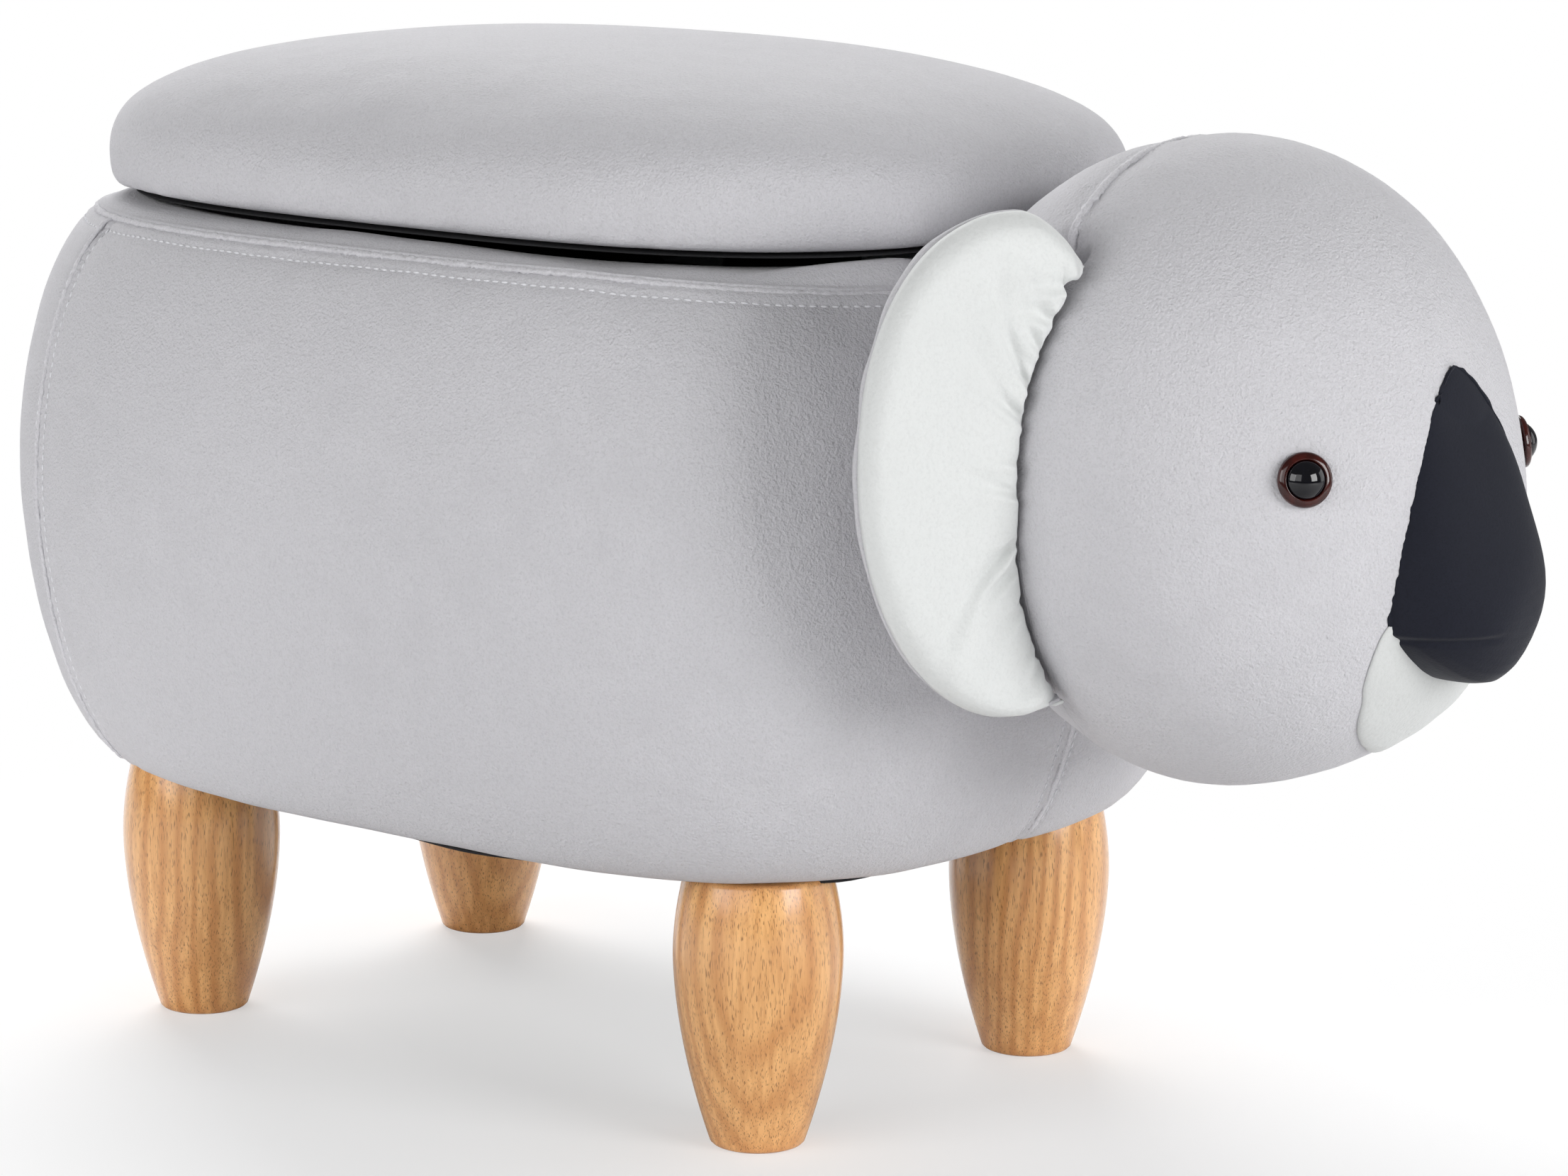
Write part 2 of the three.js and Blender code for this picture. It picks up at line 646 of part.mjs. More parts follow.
// Hinge leaves: a plate with rounded free corners
function leafPlate(width, length, thickness) {
  const shape = new THREE.Shape();
  shape.moveTo(-width / 2, 0);
  shape.lineTo(width / 2, 0);
  shape.lineTo(width / 2, length - leafCorner);
  shape.absarc(width / 2 - leafCorner, length - leafCorner, leafCorner, 0, Math.PI / 2, false);
  shape.absarc(-width / 2 + leafCorner, length - leafCorner, leafCorner, Math.PI / 2, Math.PI, false);
  return new THREE.ExtrudeGeometry(shape, { depth: thickness, bevelEnabled: false, curveSegments: 3 });
}

const knuckle = (radius, from, to) => alongX(bar(radius, from, to)).translate(0, axisY, axisHeight);
const third = hingeWidth / 6;
const pinHole = knuckle(pinRadius + seat, -hingeWidth / 2 - overrun, hingeWidth / 2 + overrun);
const knuckleSpace = (from, to) => block(from, to, axisY - knuckleRadius - seat,
  axisY + knuckleRadius + seat, axisHeight - knuckleRadius - overrun, axisHeight + knuckleRadius + overrun);

function bodyLeaf() {
  const flatZ = axisHeight - knuckleRadius;
  const flat = block(-hingeWidth / 2, hingeWidth / 2, leafInnerY, axisY, flatZ, flatZ + leafThickness);
  const drop = leafPlate(hingeWidth, flatZ + leafThickness - bodyLeafBottom, leafThickness);
  drop.rotateX(-Math.PI / 2).translate(0, leafInnerY, flatZ + leafThickness);
  const holes = [-screwSpacing / 2, screwSpacing / 2].map((x) =>
    placed(bar(screwRadius + seat, -overrun, leafThickness + overrun, screwColumns)
      .rotateX(-Math.PI / 2), x, leafInnerY, bodyScrewZ));
  const body = join([flat, drop]);
  const gap = knuckleSpace(-third - seat, third + seat);
  const barrels = join([
    knuckle(knuckleRadius, -hingeWidth / 2, -third - seat),
    knuckle(knuckleRadius, third + seat, hingeWidth / 2),
  ]);
  return cut(join([cut(body, [gap]), barrels]), [pinHole, ...holes]);
}

function lidLeaf() {
  const plate = leafPlate(hingeWidth, lidLeafLength, leafThickness);
  plate.rotateZ(Math.PI).translate(0, axisY, axisHeight + knuckleRadius - leafThickness);
  const holes = [-screwSpacing / 2, screwSpacing / 2].map((x) =>
    placed(bar(screwRadius + seat, axisHeight - overrun, undersideBottom + overrun, screwColumns),
      x, lidScrewY, 0));
  const gaps = [
    knuckleSpace(-hingeWidth / 2 - overrun, -third),
    knuckleSpace(third, hingeWidth / 2 + overrun),
  ];
  return cut(join([cut(plate, gaps), knuckle(knuckleRadius, -third, third)]), [pinHole, ...holes]);
}

const screwProfile = [
  [0, -screwHead], [screwHeadRadius * screwCrownShare, -screwHead], [screwHeadRadius, 0],
  [screwRadius, 0], [screwRadius, screwLength - 2 * screwRadius], [0, screwLength],
];
const screwGeometry = turned(screwProfile, screwColumns);
const bodyLeafGeometry = bodyLeaf();
const lidLeafGeometry = lidLeaf();
const pinEnd = hingeWidth / 2 + seat;
const [pinCrown, pinFoot] = pinHeadShares.map((share) => knuckleRadius * share);
const pinGeometry = alongX(turned([
  [0, -pinEnd - pinHead], [pinCrown, -pinEnd - pinHead], [pinFoot, -pinEnd], [pinRadius, -pinEnd],
  [pinRadius, pinEnd], [pinFoot, pinEnd], [pinCrown, pinEnd + pinHead], [0, pinEnd + pinHead],
], fixingColumns)).translate(0, axisY, axisHeight);
for (const [end, x] of Object.entries(hingeCentres)) {
  add(`hinge_body_leaf_${end}`, placed(bodyLeafGeometry, x, 0, 0), zincSteel);
  add(`hinge_lid_leaf_${end}`, placed(lidLeafGeometry, x, 0, 0), zincSteel);
  add(`hinge_pin_${end}`, placed(pinGeometry, x, 0, 0), zincSteel);
}
const bodyScrewGeometry = screwGeometry.clone().rotateX(-Math.PI / 2);
for (const { name, x } of screwPlaces) {
  add(`body_screw_${name}`, placed(bodyScrewGeometry, x, leafInnerY - seat, bodyScrewZ), zincSteel);
  add(`lid_screw_${name}`, placed(screwGeometry, x, lidScrewY,
    undersideBottom - seat - leafThickness - seat), zincSteel);
}

// Head form: a squarish egg, tilted so that the chin comes forward
function headPointAt(sideAngle, heightShare, grow) {
  const ring = (1 - Math.abs(heightShare) ** headPower) ** (1 / headPower);
  const r = (headRadius + grow) * ring;
  return new THREE.Vector3(r * Math.cos(sideAngle), r * Math.sin(sideAngle),
    (headHalfHeight + grow) * heightShare);
}
const headPlace = new THREE.Matrix4().makeTranslation(headCentreX, 0, headCentreZ)
  .multiply(new THREE.Matrix4().makeRotationY(-headTilt));

function headForm(grow) {
  const rows = steps(headRows, -Math.PI / 2, Math.PI / 2).slice(1, -1).map((turn) => {
    const share = Math.sign(turn) * Math.abs(Math.sin(turn)) ** (2 / headPower);
    return Array.from({ length: headColumns }, (_, i) =>
      headPointAt(2 * Math.PI * i / headColumns, share, grow));
  });
  const bottom = [new THREE.Vector3(0, 0, -headHalfHeight - grow)];
  const top = [new THREE.Vector3(0, 0, headHalfHeight + grow)];
  return skin([bottom, ...rows, top]).applyMatrix4(headPlace);
}

const wide = headRadius + headHalfHeight;
const behindSeam = (shift) => block(headCentreX - wide, headSeamX + shift, -wide, wide,
  headCentreZ - wide, headCentreZ + wide);
const bodySeatCut = bodyEnvelope(seat);
const headOuter = headForm(0);
const headInner = headForm(-velvet);
const headShell = cut(headOuter, [headInner]);

// Muzzle outline, from under the nose round the chin
function muzzlePrism(grow) {
  const width = muzzleHalfWidth + grow;
  const top = headCentreZ - muzzleTopDrop + grow;
  const bottom = headCentreZ - muzzleBottomDrop - grow;
  const cheek = top - (top - bottom) * muzzleCheekShare;
  const chin = width * muzzleChinShare;
  const shape = new THREE.Shape();
  shape.moveTo(-width, top);
  shape.bezierCurveTo(-width, cheek, -chin, bottom, 0, bottom);
  shape.bezierCurveTo(chin, bottom, width, cheek, width, top);
  const prism = new THREE.ExtrudeGeometry(shape, {
    depth: headRadius, bevelEnabled: false, curveSegments: muzzleColumns });
  // the shape's x and y become the stool's Y and Z, and the prism runs forwards
  prism.applyMatrix4(new THREE.Matrix4().makeBasis(
    new THREE.Vector3(0, 1, 0), new THREE.Vector3(0, 0, 1), new THREE.Vector3(1, 0, 0)));
  return prism.translate(headCentreX + headRadius / 4, 0, 0);
}

// Eyes stand square on the face
const eyePlaces = { right: -eyeSideAngle, left: eyeSideAngle };
function eyeMatrix(angle) {
  const share = -eyeDrop / headHalfHeight;
  const at = headPointAt(angle, share, 0);
  const across = headPointAt(angle + slopeShare, share, 0).sub(at);
  const up = headPointAt(angle, share + slopeShare, 0).sub(at);
  const normal = new THREE.Vector3().crossVectors(across, up).normalize();
  const turn = new THREE.Quaternion().setFromUnitVectors(new THREE.Vector3(0, 0, 1), normal);
  return headPlace.clone().multiply(new THREE.Matrix4().compose(at, turn, new THREE.Vector3(1, 1, 1)));
}
const eyeShankCutters = Object.values(eyePlaces).map((angle) =>
  bar(eyeShankRadius + seat, -eyeShankLength - seat, overrun).applyMatrix4(eyeMatrix(angle)));
// the washer clears the facets of the face, which lie inside its curve
const faceHollow = headRadius * (1 - Math.cos(Math.PI / headColumns))
  + headHalfHeight * (1 - Math.cos(Math.PI / 2 / headRows)) + eyeWasherRadius ** 2 / 2 / headRadius;
const washerTop = -velvet - faceHollow - 2 * seat;
const washerCutters = Object.values(eyePlaces).map((angle) =>
  bar(eyeWasherRadius + seat, washerTop - eyeWasher - seat, overrun, eyeColumns)
    .applyMatrix4(eyeMatrix(angle)));

add('face_panel', cut(headShell, [
  behindSeam(sewnGap / 2), muzzlePrism(sewnGap), ...eyeShankCutters]), greyVelvet);
add('muzzle_patch', common(headShell, muzzlePrism(0)), whitePlush);
add('head_back_panel', cut(common(headShell, behindSeam(-sewnGap / 2)), [bodySeatCut]), greyVelvet);

const boardCutter = alongX(bar(headBoardRadius + seat, 0, headFaceX + headBoardThickness + seat, headColumns))
  .translate(0, 0, headCentreZ);
add('head_filling', cut(headForm(-velvet - seat), [
  bodySeatCut, boardCutter, ...eyeShankCutters, ...washerCutters]), fibre);
add('head_board', cut(alongX(bar(headBoardRadius, headFaceX, headFaceX + headBoardThickness, headColumns))
  .translate(0, 0, headCentreZ), headBoltCutters), plywood);

for (const [side, y] of Object.entries(boltSides)) {
  const bolt = alongX(turned([
    [0, boltHeadX - headBoltHead], [headBoltHeadRadius * boltCrownShare, boltHeadX - headBoltHead],
    [headBoltHeadRadius, boltHeadX], [headBoltRadius, boltHeadX], [headBoltRadius, boltEndX], [0, boltEndX],
  ], fixingColumns));
  add(`head_bolt_${side}`, placed(bolt, 0, y, headCentreZ), zincSteel);
}

for (const [side, angle] of Object.entries(eyePlaces)) {
  const socket = new THREE.Group();
  socket.applyMatrix4(eyeMatrix(angle));
  model.add(socket);
  add(`eye_ring_${side}`, turned([
    [0, -eyeShankLength], [eyeShankRadius, -eyeShankLength], [eyeShankRadius, seat],
    [eyeRadius, seat], [eyeRadius, seat + eyeRing - eyeRingEdge],
    [eyeRadius - eyeRingEdge, seat + eyeRing], [0, seat + eyeRing],
  ], eyeColumns), irisBrown, socket);
  const pupilFoot = seat + eyeRing + seat;
  const dome = steps(pupilRows, 0, Math.PI / 2).map((turn) =>
    [pupilRadius * Math.cos(turn), pupilFoot + pupilDome * Math.sin(turn)]);
  dome[dome.length - 1][0] = 0;
  add(`eye_pupil_${side}`, turned([[0, pupilFoot], ...dome], eyeColumns), pupilBlack, socket);
  const washerBore = eyeShankRadius + seat;
  add(`eye_washer_${side}`, turned([
    [washerBore, washerTop - eyeWasher], [eyeWasherRadius, washerTop - eyeWasher],
    [eyeWasherRadius, washerTop], [washerBore, washerTop], [washerBore, washerTop - eyeWasher],
  ], fixingColumns), whitePlastic, socket);
}

// Ears: a front of white plush and a back of grey velvet, cut to the side of the head
const earRim = Array.from({ length: earColumns }, (_, i) => {
  const angle = 2 * Math.PI * i / earColumns;
  const [c, s] = [Math.cos(angle), Math.sin(angle)];
  const power = 2 / (s > 0 ? earTopPower : earBottomPower);
  return new THREE.Vector3(0, earHalfWidth * Math.sign(c) * Math.abs(c) ** power,
    earHalfHeight * Math.sign(s) * Math.abs(s) ** power);
});
const earRootY = Math.sqrt(headRadius ** 2 - headSeamBack ** 2);
const earPlace = new THREE.Matrix4().makeTranslation(headSeamX, earRootY, headCentreZ + earRise)
  .multiply(new THREE.Matrix4().makeRotationZ(earLean));

// Half of an ear: its swell over a flat face, with the height at each share of the way to the rim
function earHalf(swell, heightShares) {
  const middle = Math.sign(swell) * sewnGap / 2;
  const ring = (share, height) => earRim.map((p) => p.clone().multiplyScalar(share).setX(middle + height));
  const rings = heightShares.slice(1).map(([share, height]) => ring(share, swell * height));
  const crown = [new THREE.Vector3(middle + swell * heightShares[0][1], 0, 0)];
  return skin([crown, ...rings, ring(1, 0), [new THREE.Vector3(middle, 0, 0)]]).applyMatrix4(earPlace);
}
const earSeat = headForm(seat);
const earFront = cut(earHalf(earFrontSwell, earFrontShares), [earSeat]);
const earBack = cut(earHalf(-earBackSwell, earBackShares), [earSeat]);
add('ear_front_left', earFront, whitePlush);
add('ear_front_right', mirrored(earFront), whitePlush);
add('ear_back_left', earBack, greyVelvet);
add('ear_back_right', mirrored(earBack), greyVelvet);

// Nose: stacked level sections whose width and reach follow two curves
const curveThrough = (shares) => new THREE.SplineCurve(shares.map(([h, v]) => new THREE.Vector2(h, v)));

function valueAt(shares, height) {
  const points = curveThrough(shares).getPoints(noseSamples);
  const after = points.findIndex((p) => p.x >= height);
  if (after <= 0) return points[0].y;
  const [low, high] = [points[after - 1], points[after]];
  return low.y + (high.y - low.y) * (height - low.x) / (high.x - low.x);
}

const noseRootX = headCentreX + headRadius * noseRootShare;
const noseBottomZ = headCentreZ - noseBottomDrop;
function noseForm() {
  const heights = steps(noseRows, 0, 1).map((t) => (1 - Math.cos(Math.PI * t)) / 2);
  const rings = heights.map((h) => {
    const front = noseTipX + noseDepth * valueAt(noseReachShares, h);
    const width = noseHalfWidth * valueAt(noseWidthShares, h);
    const z = noseBottomZ + (noseBottomDrop + noseTopRise) * h;
    return Array.from({ length: noseColumns }, (_, i) => {
      const angle = 2 * Math.PI * i / noseColumns;
      return new THREE.Vector3(noseRootX + (front - noseRootX) * Math.cos(angle), width * Math.sin(angle), z);
    });
  });
  const pole = (ring) => [new THREE.Vector3(noseRootX, 0, ring[0].z)];
  return skin([pole(rings[0]), ...rings, pole(rings[rings.length - 1])]);
}
add('nose', cut(noseForm(), [headForm(seat)]), noseCloth);

export default stool;
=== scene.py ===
import json
import math

import bmesh
import bpy
import numpy as np
from mathutils import Matrix, Vector
from mathutils.bvhtree import BVHTree


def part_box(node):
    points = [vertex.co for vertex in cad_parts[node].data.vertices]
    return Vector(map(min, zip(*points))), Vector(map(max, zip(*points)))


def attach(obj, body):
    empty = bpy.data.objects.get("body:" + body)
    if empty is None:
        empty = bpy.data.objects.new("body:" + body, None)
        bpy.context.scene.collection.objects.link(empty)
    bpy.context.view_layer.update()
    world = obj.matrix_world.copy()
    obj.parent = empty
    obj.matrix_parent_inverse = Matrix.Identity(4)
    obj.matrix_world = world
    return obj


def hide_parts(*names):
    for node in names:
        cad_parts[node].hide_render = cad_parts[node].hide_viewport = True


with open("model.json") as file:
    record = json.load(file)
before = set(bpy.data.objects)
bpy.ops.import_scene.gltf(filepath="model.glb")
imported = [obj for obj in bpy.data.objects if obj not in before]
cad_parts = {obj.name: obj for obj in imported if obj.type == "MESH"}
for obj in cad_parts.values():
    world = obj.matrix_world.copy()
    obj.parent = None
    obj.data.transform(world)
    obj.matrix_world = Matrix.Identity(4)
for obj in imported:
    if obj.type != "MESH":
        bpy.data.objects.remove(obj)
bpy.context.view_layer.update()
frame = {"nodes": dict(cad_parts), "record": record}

bl_info = {
    "name": "Animal footstool",
    "version": (1, 0, 0),
    "blender": (4, 5, 0),
    "location": "View3D > Sidebar > Footstool",
    "description": "Dresses a koala-shaped storage footstool in velvet, plush and turned wood",
    "category": "Add Mesh",
}

# Places that the frame gives, in metres
LID_LOW, LID_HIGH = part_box("lid_cover")
BODY_X = (LID_LOW.x + LID_HIGH.x) / 2
HEM_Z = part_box("side_panel_right")[0].z
RIM_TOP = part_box("rim_band")[1].z
HEAD = Vector((BODY_X + 0.2753, 0, RIM_TOP - 0.0595))
HEAD_SEAM_X = (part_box("face_panel")[0].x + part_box("head_back_panel")[1].x) / 2
SIDES = {"right": -1, "left": 1}
LEGS = ("rear_right", "front_right", "front_left", "rear_left")
TURN = 2 * math.pi


def paint(red, green, blue):
    """Linear colour of an sRGB one, with full alpha."""
    def linear(value):
        value /= 255
        return value / 12.92 if value <= 0.04045 else ((value + 0.055) / 1.055) ** 2.4
    return (linear(red), linear(green), linear(blue), 1.0)


def length(name, about, value):
    return bpy.props.FloatProperty(
        name=name, description=about, default=value, min=0, unit="LENGTH")


def share(name, about, value):
    return bpy.props.FloatProperty(
        name=name, description=about, default=value, min=0, subtype="FACTOR")


def angle(name, about, degrees):
    return bpy.props.FloatProperty(
        name=name, description=about, default=math.radians(degrees), subtype="ANGLE")


def colour(name, about, value):
    return bpy.props.FloatVectorProperty(
        name=name, description=about, default=paint(*value), min=0, max=1, size=4,
        subtype="COLOR")


class FootstoolSizes(bpy.types.PropertyGroup):
    """Sizes of the dressed stool."""
    plan_length: length("Plan half length", "Middle of the body to its bottom edge's end", 0.185)
    plan_width: length("Plan half width", "Middle of the body to its bottom edge's side", 0.130)
    oval_power: share("Oval power", "2 is an ellipse, higher is squarer", 3.0)
    rear_seam: angle("Rear seam", "Turn from the head to each rear seam", 128.2)
    bulge: length("Bulge", "How far the padded wall stands past its bottom edge", 0.035)
    crest: share("Crest", "Height of the bulge's crest, as a share of the body's", 0.5294)
    seam_offset: length("Top seam", "How far the top seam stands past the bottom edge", 0.0124)
    cloth: length("Velvet", "Thickness of the velvet", 0.0014)
    stitch: length("Stitch", "Length of one stitch of the topstitching", 0.0031)
    pitch: length("Stitch pitch", "From one stitch to the next", 0.0038)
    thread: length("Thread", "Thickness of the thread", 0.0008)
    lid_waist: length("Lid waist", "Widest line of the lid above its hem", 0.014)
    lid_power: share("Lid crown power", "Shape of the lid's crown", 2.57)
    head_radius: length("Head radius", "Half width of the head", 0.096)
    head_height: length("Head half height", "Half height of the head along its own axis", 0.1089)
    head_power: share("Head power", "2 is an ellipse, higher is squarer", 2.17)
    head_tilt: angle("Head tilt", "How far the chin comes forward", 17.5)
    ear_width: length("Ear half width", "Middle to edge of the ear's oval", 0.0535)
    ear_height: length("Ear half height", "Middle to tip of the ear's oval", 0.083)
    ear_lean: angle("Ear lean", "How far the ears lean back", 32.2)
    eye_radius: length("Eye radius", "Outer radius of an eye", 0.0089)
    pupil_radius: length("Pupil radius", "Radius of the pupil", 0.0064)
    camera_azimuth: angle("Camera azimuth", "Camera's turn round the stool", 39.1)
    camera_elevation: angle("Camera elevation", "Camera above the horizon", 10.85)
    camera_roll: angle("Camera roll", "Camera's roll", 0.36)


class FootstoolColours(bpy.types.PropertyGroup):
    """Colours of the stool's finishes."""
    velvet: colour("Velvet", "Grey velvet of the body, lid and head", (203, 202, 206))
    plush: colour("Plush", "White plush of the ears and muzzle", (219, 221, 220))
    nose: colour("Nose", "Cloth of the nose", (26, 28, 38))
    lining: colour("Lining", "Non-woven cloth inside and below", (24, 24, 27))
    thread: colour("Thread", "Topstitching thread", (228, 228, 232))
    wood: colour("Wood", "Pale wood of the legs", (240, 184, 119))
    grain: colour("Grain", "Darker grain of the legs", (203, 137, 75))
    plywood: colour("Plywood", "Boards and tub wall", (207, 174, 130))
    foam: colour("Foam", "Padding foam and fibre", (232, 226, 207))
    steel: colour("Steel", "Zinc-plated hinges and screws", (180, 184, 189))
    iris: colour("Iris", "Brown ring of an eye", (54, 15, 10))
    pupil: colour("Pupil", "Pupil of an eye", (8, 8, 14))


def sizes():
    return bpy.context.scene.footstool_sizes


def colours():
    return bpy.context.scene.footstool_colours


# Materials

def node(tree, kind, values=None, **links):
    """Adds a shader node with its values, and links its named inputs."""
    made = tree.nodes.new(kind)
    for name, value in (values or {}).items():
        if name in made.inputs:
            made.inputs[name].default_value = value
        else:
            setattr(made, name, value)
    for name, socket in links.items():
        tree.links.new(socket, made.inputs[name.replace("_", " ")])
    return made


def new_material(name):
    """A material with its tree, its surface shader and its object coordinates."""
    made = bpy.data.materials.new(name)
    made.use_nodes = True
    tree = made.node_tree
    shader = tree.nodes["Principled BSDF"]
    place = node(tree, "ShaderNodeTexCoord").outputs["Object"]
    return made, tree, shader, place


def tinted(value, factor):
    """A colour made lighter or darker."""
    return tuple(min(1.0, c * factor) for c in value[:3]) + (1.0,)


def mixed(tree, factor, first, second):
    """Colour between two colours or sockets."""
    made = node(tree, "ShaderNodeMix", {"data_type": "RGBA"})
    tree.links.new(factor, made.inputs[0])
    for socket, value in ((made.inputs[6], first), (made.inputs[7], second)):
        if isinstance(value, bpy.types.NodeSocket):
            tree.links.new(value, socket)
        else:
            socket.default_value = value
    return made.outputs[2]


def ramp(tree, factor, low, high, top=1.0):
    """Spreads the part of a texture between two levels over 0 to a top."""
    levels = {"From Min": low, "From Max": high, "To Max": top, "clamp": True}
    return node(tree, "ShaderNodeMapRange", levels, Value=factor).outputs[0]


def noise(tree, place, scale, detail, **more):
    """Level of a noise with features of a size."""
    values = {"Scale": scale, "Detail": detail, **more}
    return node(tree, "ShaderNodeTexNoise", values, Vector=place).outputs[0]


def between(tree, value, low, high):
    """A level spread from one plain level to another."""
    return node(tree, "ShaderNodeMapRange", {"To Min": low, "To Max": high}, Value=value).outputs[0]


def bumped(tree, height, strength, distance, **more):
    """Relief of a height, on top of the relief in Normal where that is given."""
    values = {"Strength": strength, "Distance": distance}
    return node(tree, "ShaderNodeBump", values, Height=height, **more).outputs[0]


def dress(tree, shader, base, relief=None, **levels):
    """Gives a surface shader its colour and relief, and its levels as numbers or sockets."""
    tree.links.new(base, shader.inputs["Base Color"])
    if relief is not None:
        tree.links.new(relief, shader.inputs["Normal"])
    for name, value in levels.items():
        socket = shader.inputs[name.replace("_", " ")]
        if isinstance(value, bpy.types.NodeSocket):
            tree.links.new(value, socket)
        else:
            socket.default_value = value


def fabric(name, base, spread, fibre, cloud, height, roughness, sheen):
    """Napped cloth: clouds of brushed pile, tufts, fibre in colour and relief, and soft sheen; the
    low tufts and pile are painted darker, painted shade in the hollows of the relief.
    """
    made, tree, shader, place = new_material(name)
    pile = noise(tree, place, fibre, 3, Roughness=0.6)
    tufts = noise(tree, place, fibre * 0.6, 2)
    clouds = noise(tree, place, cloud, 3, Roughness=0.55)
    wide = noise(tree, place, cloud / 5, 1)
    brushed = mixed(tree, ramp(tree, clouds, 0.3, 0.7),
                    tinted(base, 1 - spread), tinted(base, 1 + spread))
    lit = mixed(tree, ramp(tree, wide, 0.35, 0.65), brushed, tinted(base, 1 + spread / 2))
    # Painted shade: the tufts and the pile are darker where their relief is low.
    tufts_painted_shade = mixed(tree, ramp(tree, tufts, 0.5, 0.3, 0.6), lit, tinted(base, 1 - 2.5 * spread))
    pile_painted_shade = mixed(tree, ramp(tree, pile, 0.5, 0.28), tufts_painted_shade, tinted(base, 1 - 4 * spread))
    fine = bumped(tree, pile, 0.6, height)
    coarse = bumped(tree, tufts, 0.4, height * 2, Normal=fine)
    soft = bumped(tree, clouds, 0.3, height * 4, Normal=coarse)
    dress(tree, shader, pile_painted_shade, soft, Roughness=roughness, Specular_IOR_Level=0.15,
          Sheen_Weight=sheen, Sheen_Roughness=0.45)
    return made


def velvet():
    return fabric("grey_velvet", colours().velvet, 0.03, 1350, 60, 0.0007, 0.9, 0.22)


def seam_pile_painted_light():
    """Velvet whose pile stands up along a seam; its colour is the grey velvet's made lighter,
    painted light for the light that the raised pile catches.
    """
    return fabric("seam_pile_painted_light", tinted(colours().velvet, 1.1), 0.05, 1500, 90, 0.0005, 0.95, 0.3)


def plush(shade=1.0, name="white_plush"):
    return fabric(name, tinted(colours().plush, shade), 0.014, 900, 45, 0.0003, 0.95, 0.15)


def nose_cloth():
    return fabric("nose_cloth", colours().nose, 0.06, 1700, 90, 0.0001, 0.75, 0.1)


def lining_cloth():
    """Non-woven cloth with its grid of pressed dots."""
    made, tree, shader, place = new_material("black_cloth")
    base = colours().lining
    dots = node(tree, "ShaderNodeTexVoronoi", {"Scale": 420, "Randomness": 0.25}, Vector=place)
    pressed = ramp(tree, dots.outputs["Distance"], 0.15, 0.45)
    fibre = mixed(tree, noise(tree, place, 1500, 4), tinted(base, 0.6), tinted(base, 1.6))
    dress(tree, shader, mixed(tree, pressed, tinted(base, 0.7), fibre),
          bumped(tree, pressed, 0.6, 0.0003), Roughness=0.85)
    return made


def leg_wood():
    """Oiled rubberwood: leaning growth rings, short dark pores and a satin lacquer."""
    made, tree, shader, place = new_material("rubberwood")
    wood, grain = colours().wood, colours().grain
    lean, long, short = (
        node(tree, "ShaderNodeMapping", {"Rotation": turn, "Scale": (1, 1, drawn)},
             Vector=place).outputs[0]
        for turn, drawn in (((0.13, -0.1, 0.5), 0.3), ((0.05, -0.04, 0), 0.05),
                            ((0.05, -0.04, 0), 0.11)))
    drift = node(tree, "ShaderNodeTexNoise", {"Scale": 14, "Detail": 2, "Roughness": 0.45},
                 Vector=lean)
    moved = node(tree, "ShaderNodeVectorMath", {"operation": "SCALE", "Scale": 0.026})
    tree.links.new(drift.outputs["Color"], moved.inputs[0])
    bent = node(tree, "ShaderNodeVectorMath", {"operation": "ADD"})
    tree.links.new(lean, bent.inputs[0])
    tree.links.new(moved.outputs[0], bent.inputs[1])
    rings = node(tree, "ShaderNodeTexWave", {
        "wave_type": "RINGS", "rings_direction": "Z", "wave_profile": "SIN", "Scale": 52,
        "Distortion": 1.6, "Detail": 3, "Detail Scale": 1.6}, Vector=bent.outputs[0])
    strong = noise(tree, lean, 20, 1)
    ring_mark = node(tree, "ShaderNodeMath", {"operation": "MULTIPLY"})
    tree.links.new(ramp(tree, rings.outputs["Fac"], 0.3, 1.0), ring_mark.inputs[0])
    tree.links.new(ramp(tree, strong, 0.2, 0.65, 0.8), ring_mark.inputs[1])
    fibres = noise(tree, long, 380, 3, Roughness=0.6)
    pores = noise(tree, short, 3000, 0)
    ringed = mixed(tree, ring_mark.outputs[0], wood, grain)
    lined = mixed(tree, ramp(tree, fibres, 0.62, 0.36, 0.55), ringed, tinted(grain, 0.92))
    pored = mixed(tree, ramp(tree, pores, 0.62, 0.74, 0.75), lined, tinted(grain, 0.42))
    sunk = node(tree, "ShaderNodeBump", {"Strength": 0.25, "Distance": 0.0002, "invert": True},
                Height=pores).outputs[0]
    dress(tree, shader, pored, sunk, Roughness=between(tree, fibres, 0.3, 0.42),
          Coat_Weight=0.7, Coat_Roughness=0.16)
    return made


def board_wood():
    """Plywood: thin plies in its thickness and a fine grain along it."""
    made, tree, shader, place = new_material("plywood")
    base = colours().plywood
    plies = node(tree, "ShaderNodeTexWave",
                 {"bands_direction": "Z", "Scale": 110, "Distortion": 0.4}, Vector=place)
    long = node(tree, "ShaderNodeMapping", {"Scale": (0.12, 1, 1)}, Vector=place).outputs[0]
    grain = noise(tree, long, 160, 5, Roughness=0.65)
    layered = mixed(tree, ramp(tree, plies.outputs["Fac"], 0.2, 0.8), tinted(base, 0.82), base)
    dress(tree, shader, mixed(tree, ramp(tree, grain, 0.35, 0.7), layered, tinted(base, 1.15)),
          bumped(tree, grain, 0.3, 0.0003), Roughness=0.7)
    return made


def padding():
    """Open-celled foam and fibre; the cells are painted darker towards their sunken middles,
    painted shade in the pits of the relief.
    """
    made, tree, shader, place = new_material("padding_foam")
    base = colours().foam
    cells = node(tree, "ShaderNodeTexVoronoi", {"Scale": 700}, Vector=place).outputs["Distance"]
    # Painted shade: darker where the cells' relief is lowest.
    dress(tree, shader, mixed(tree, ramp(tree, cells, 0.1, 0.7), tinted(base, 0.85), base),
          bumped(tree, cells, 0.5, 0.0004), Roughness=0.95)
    return made


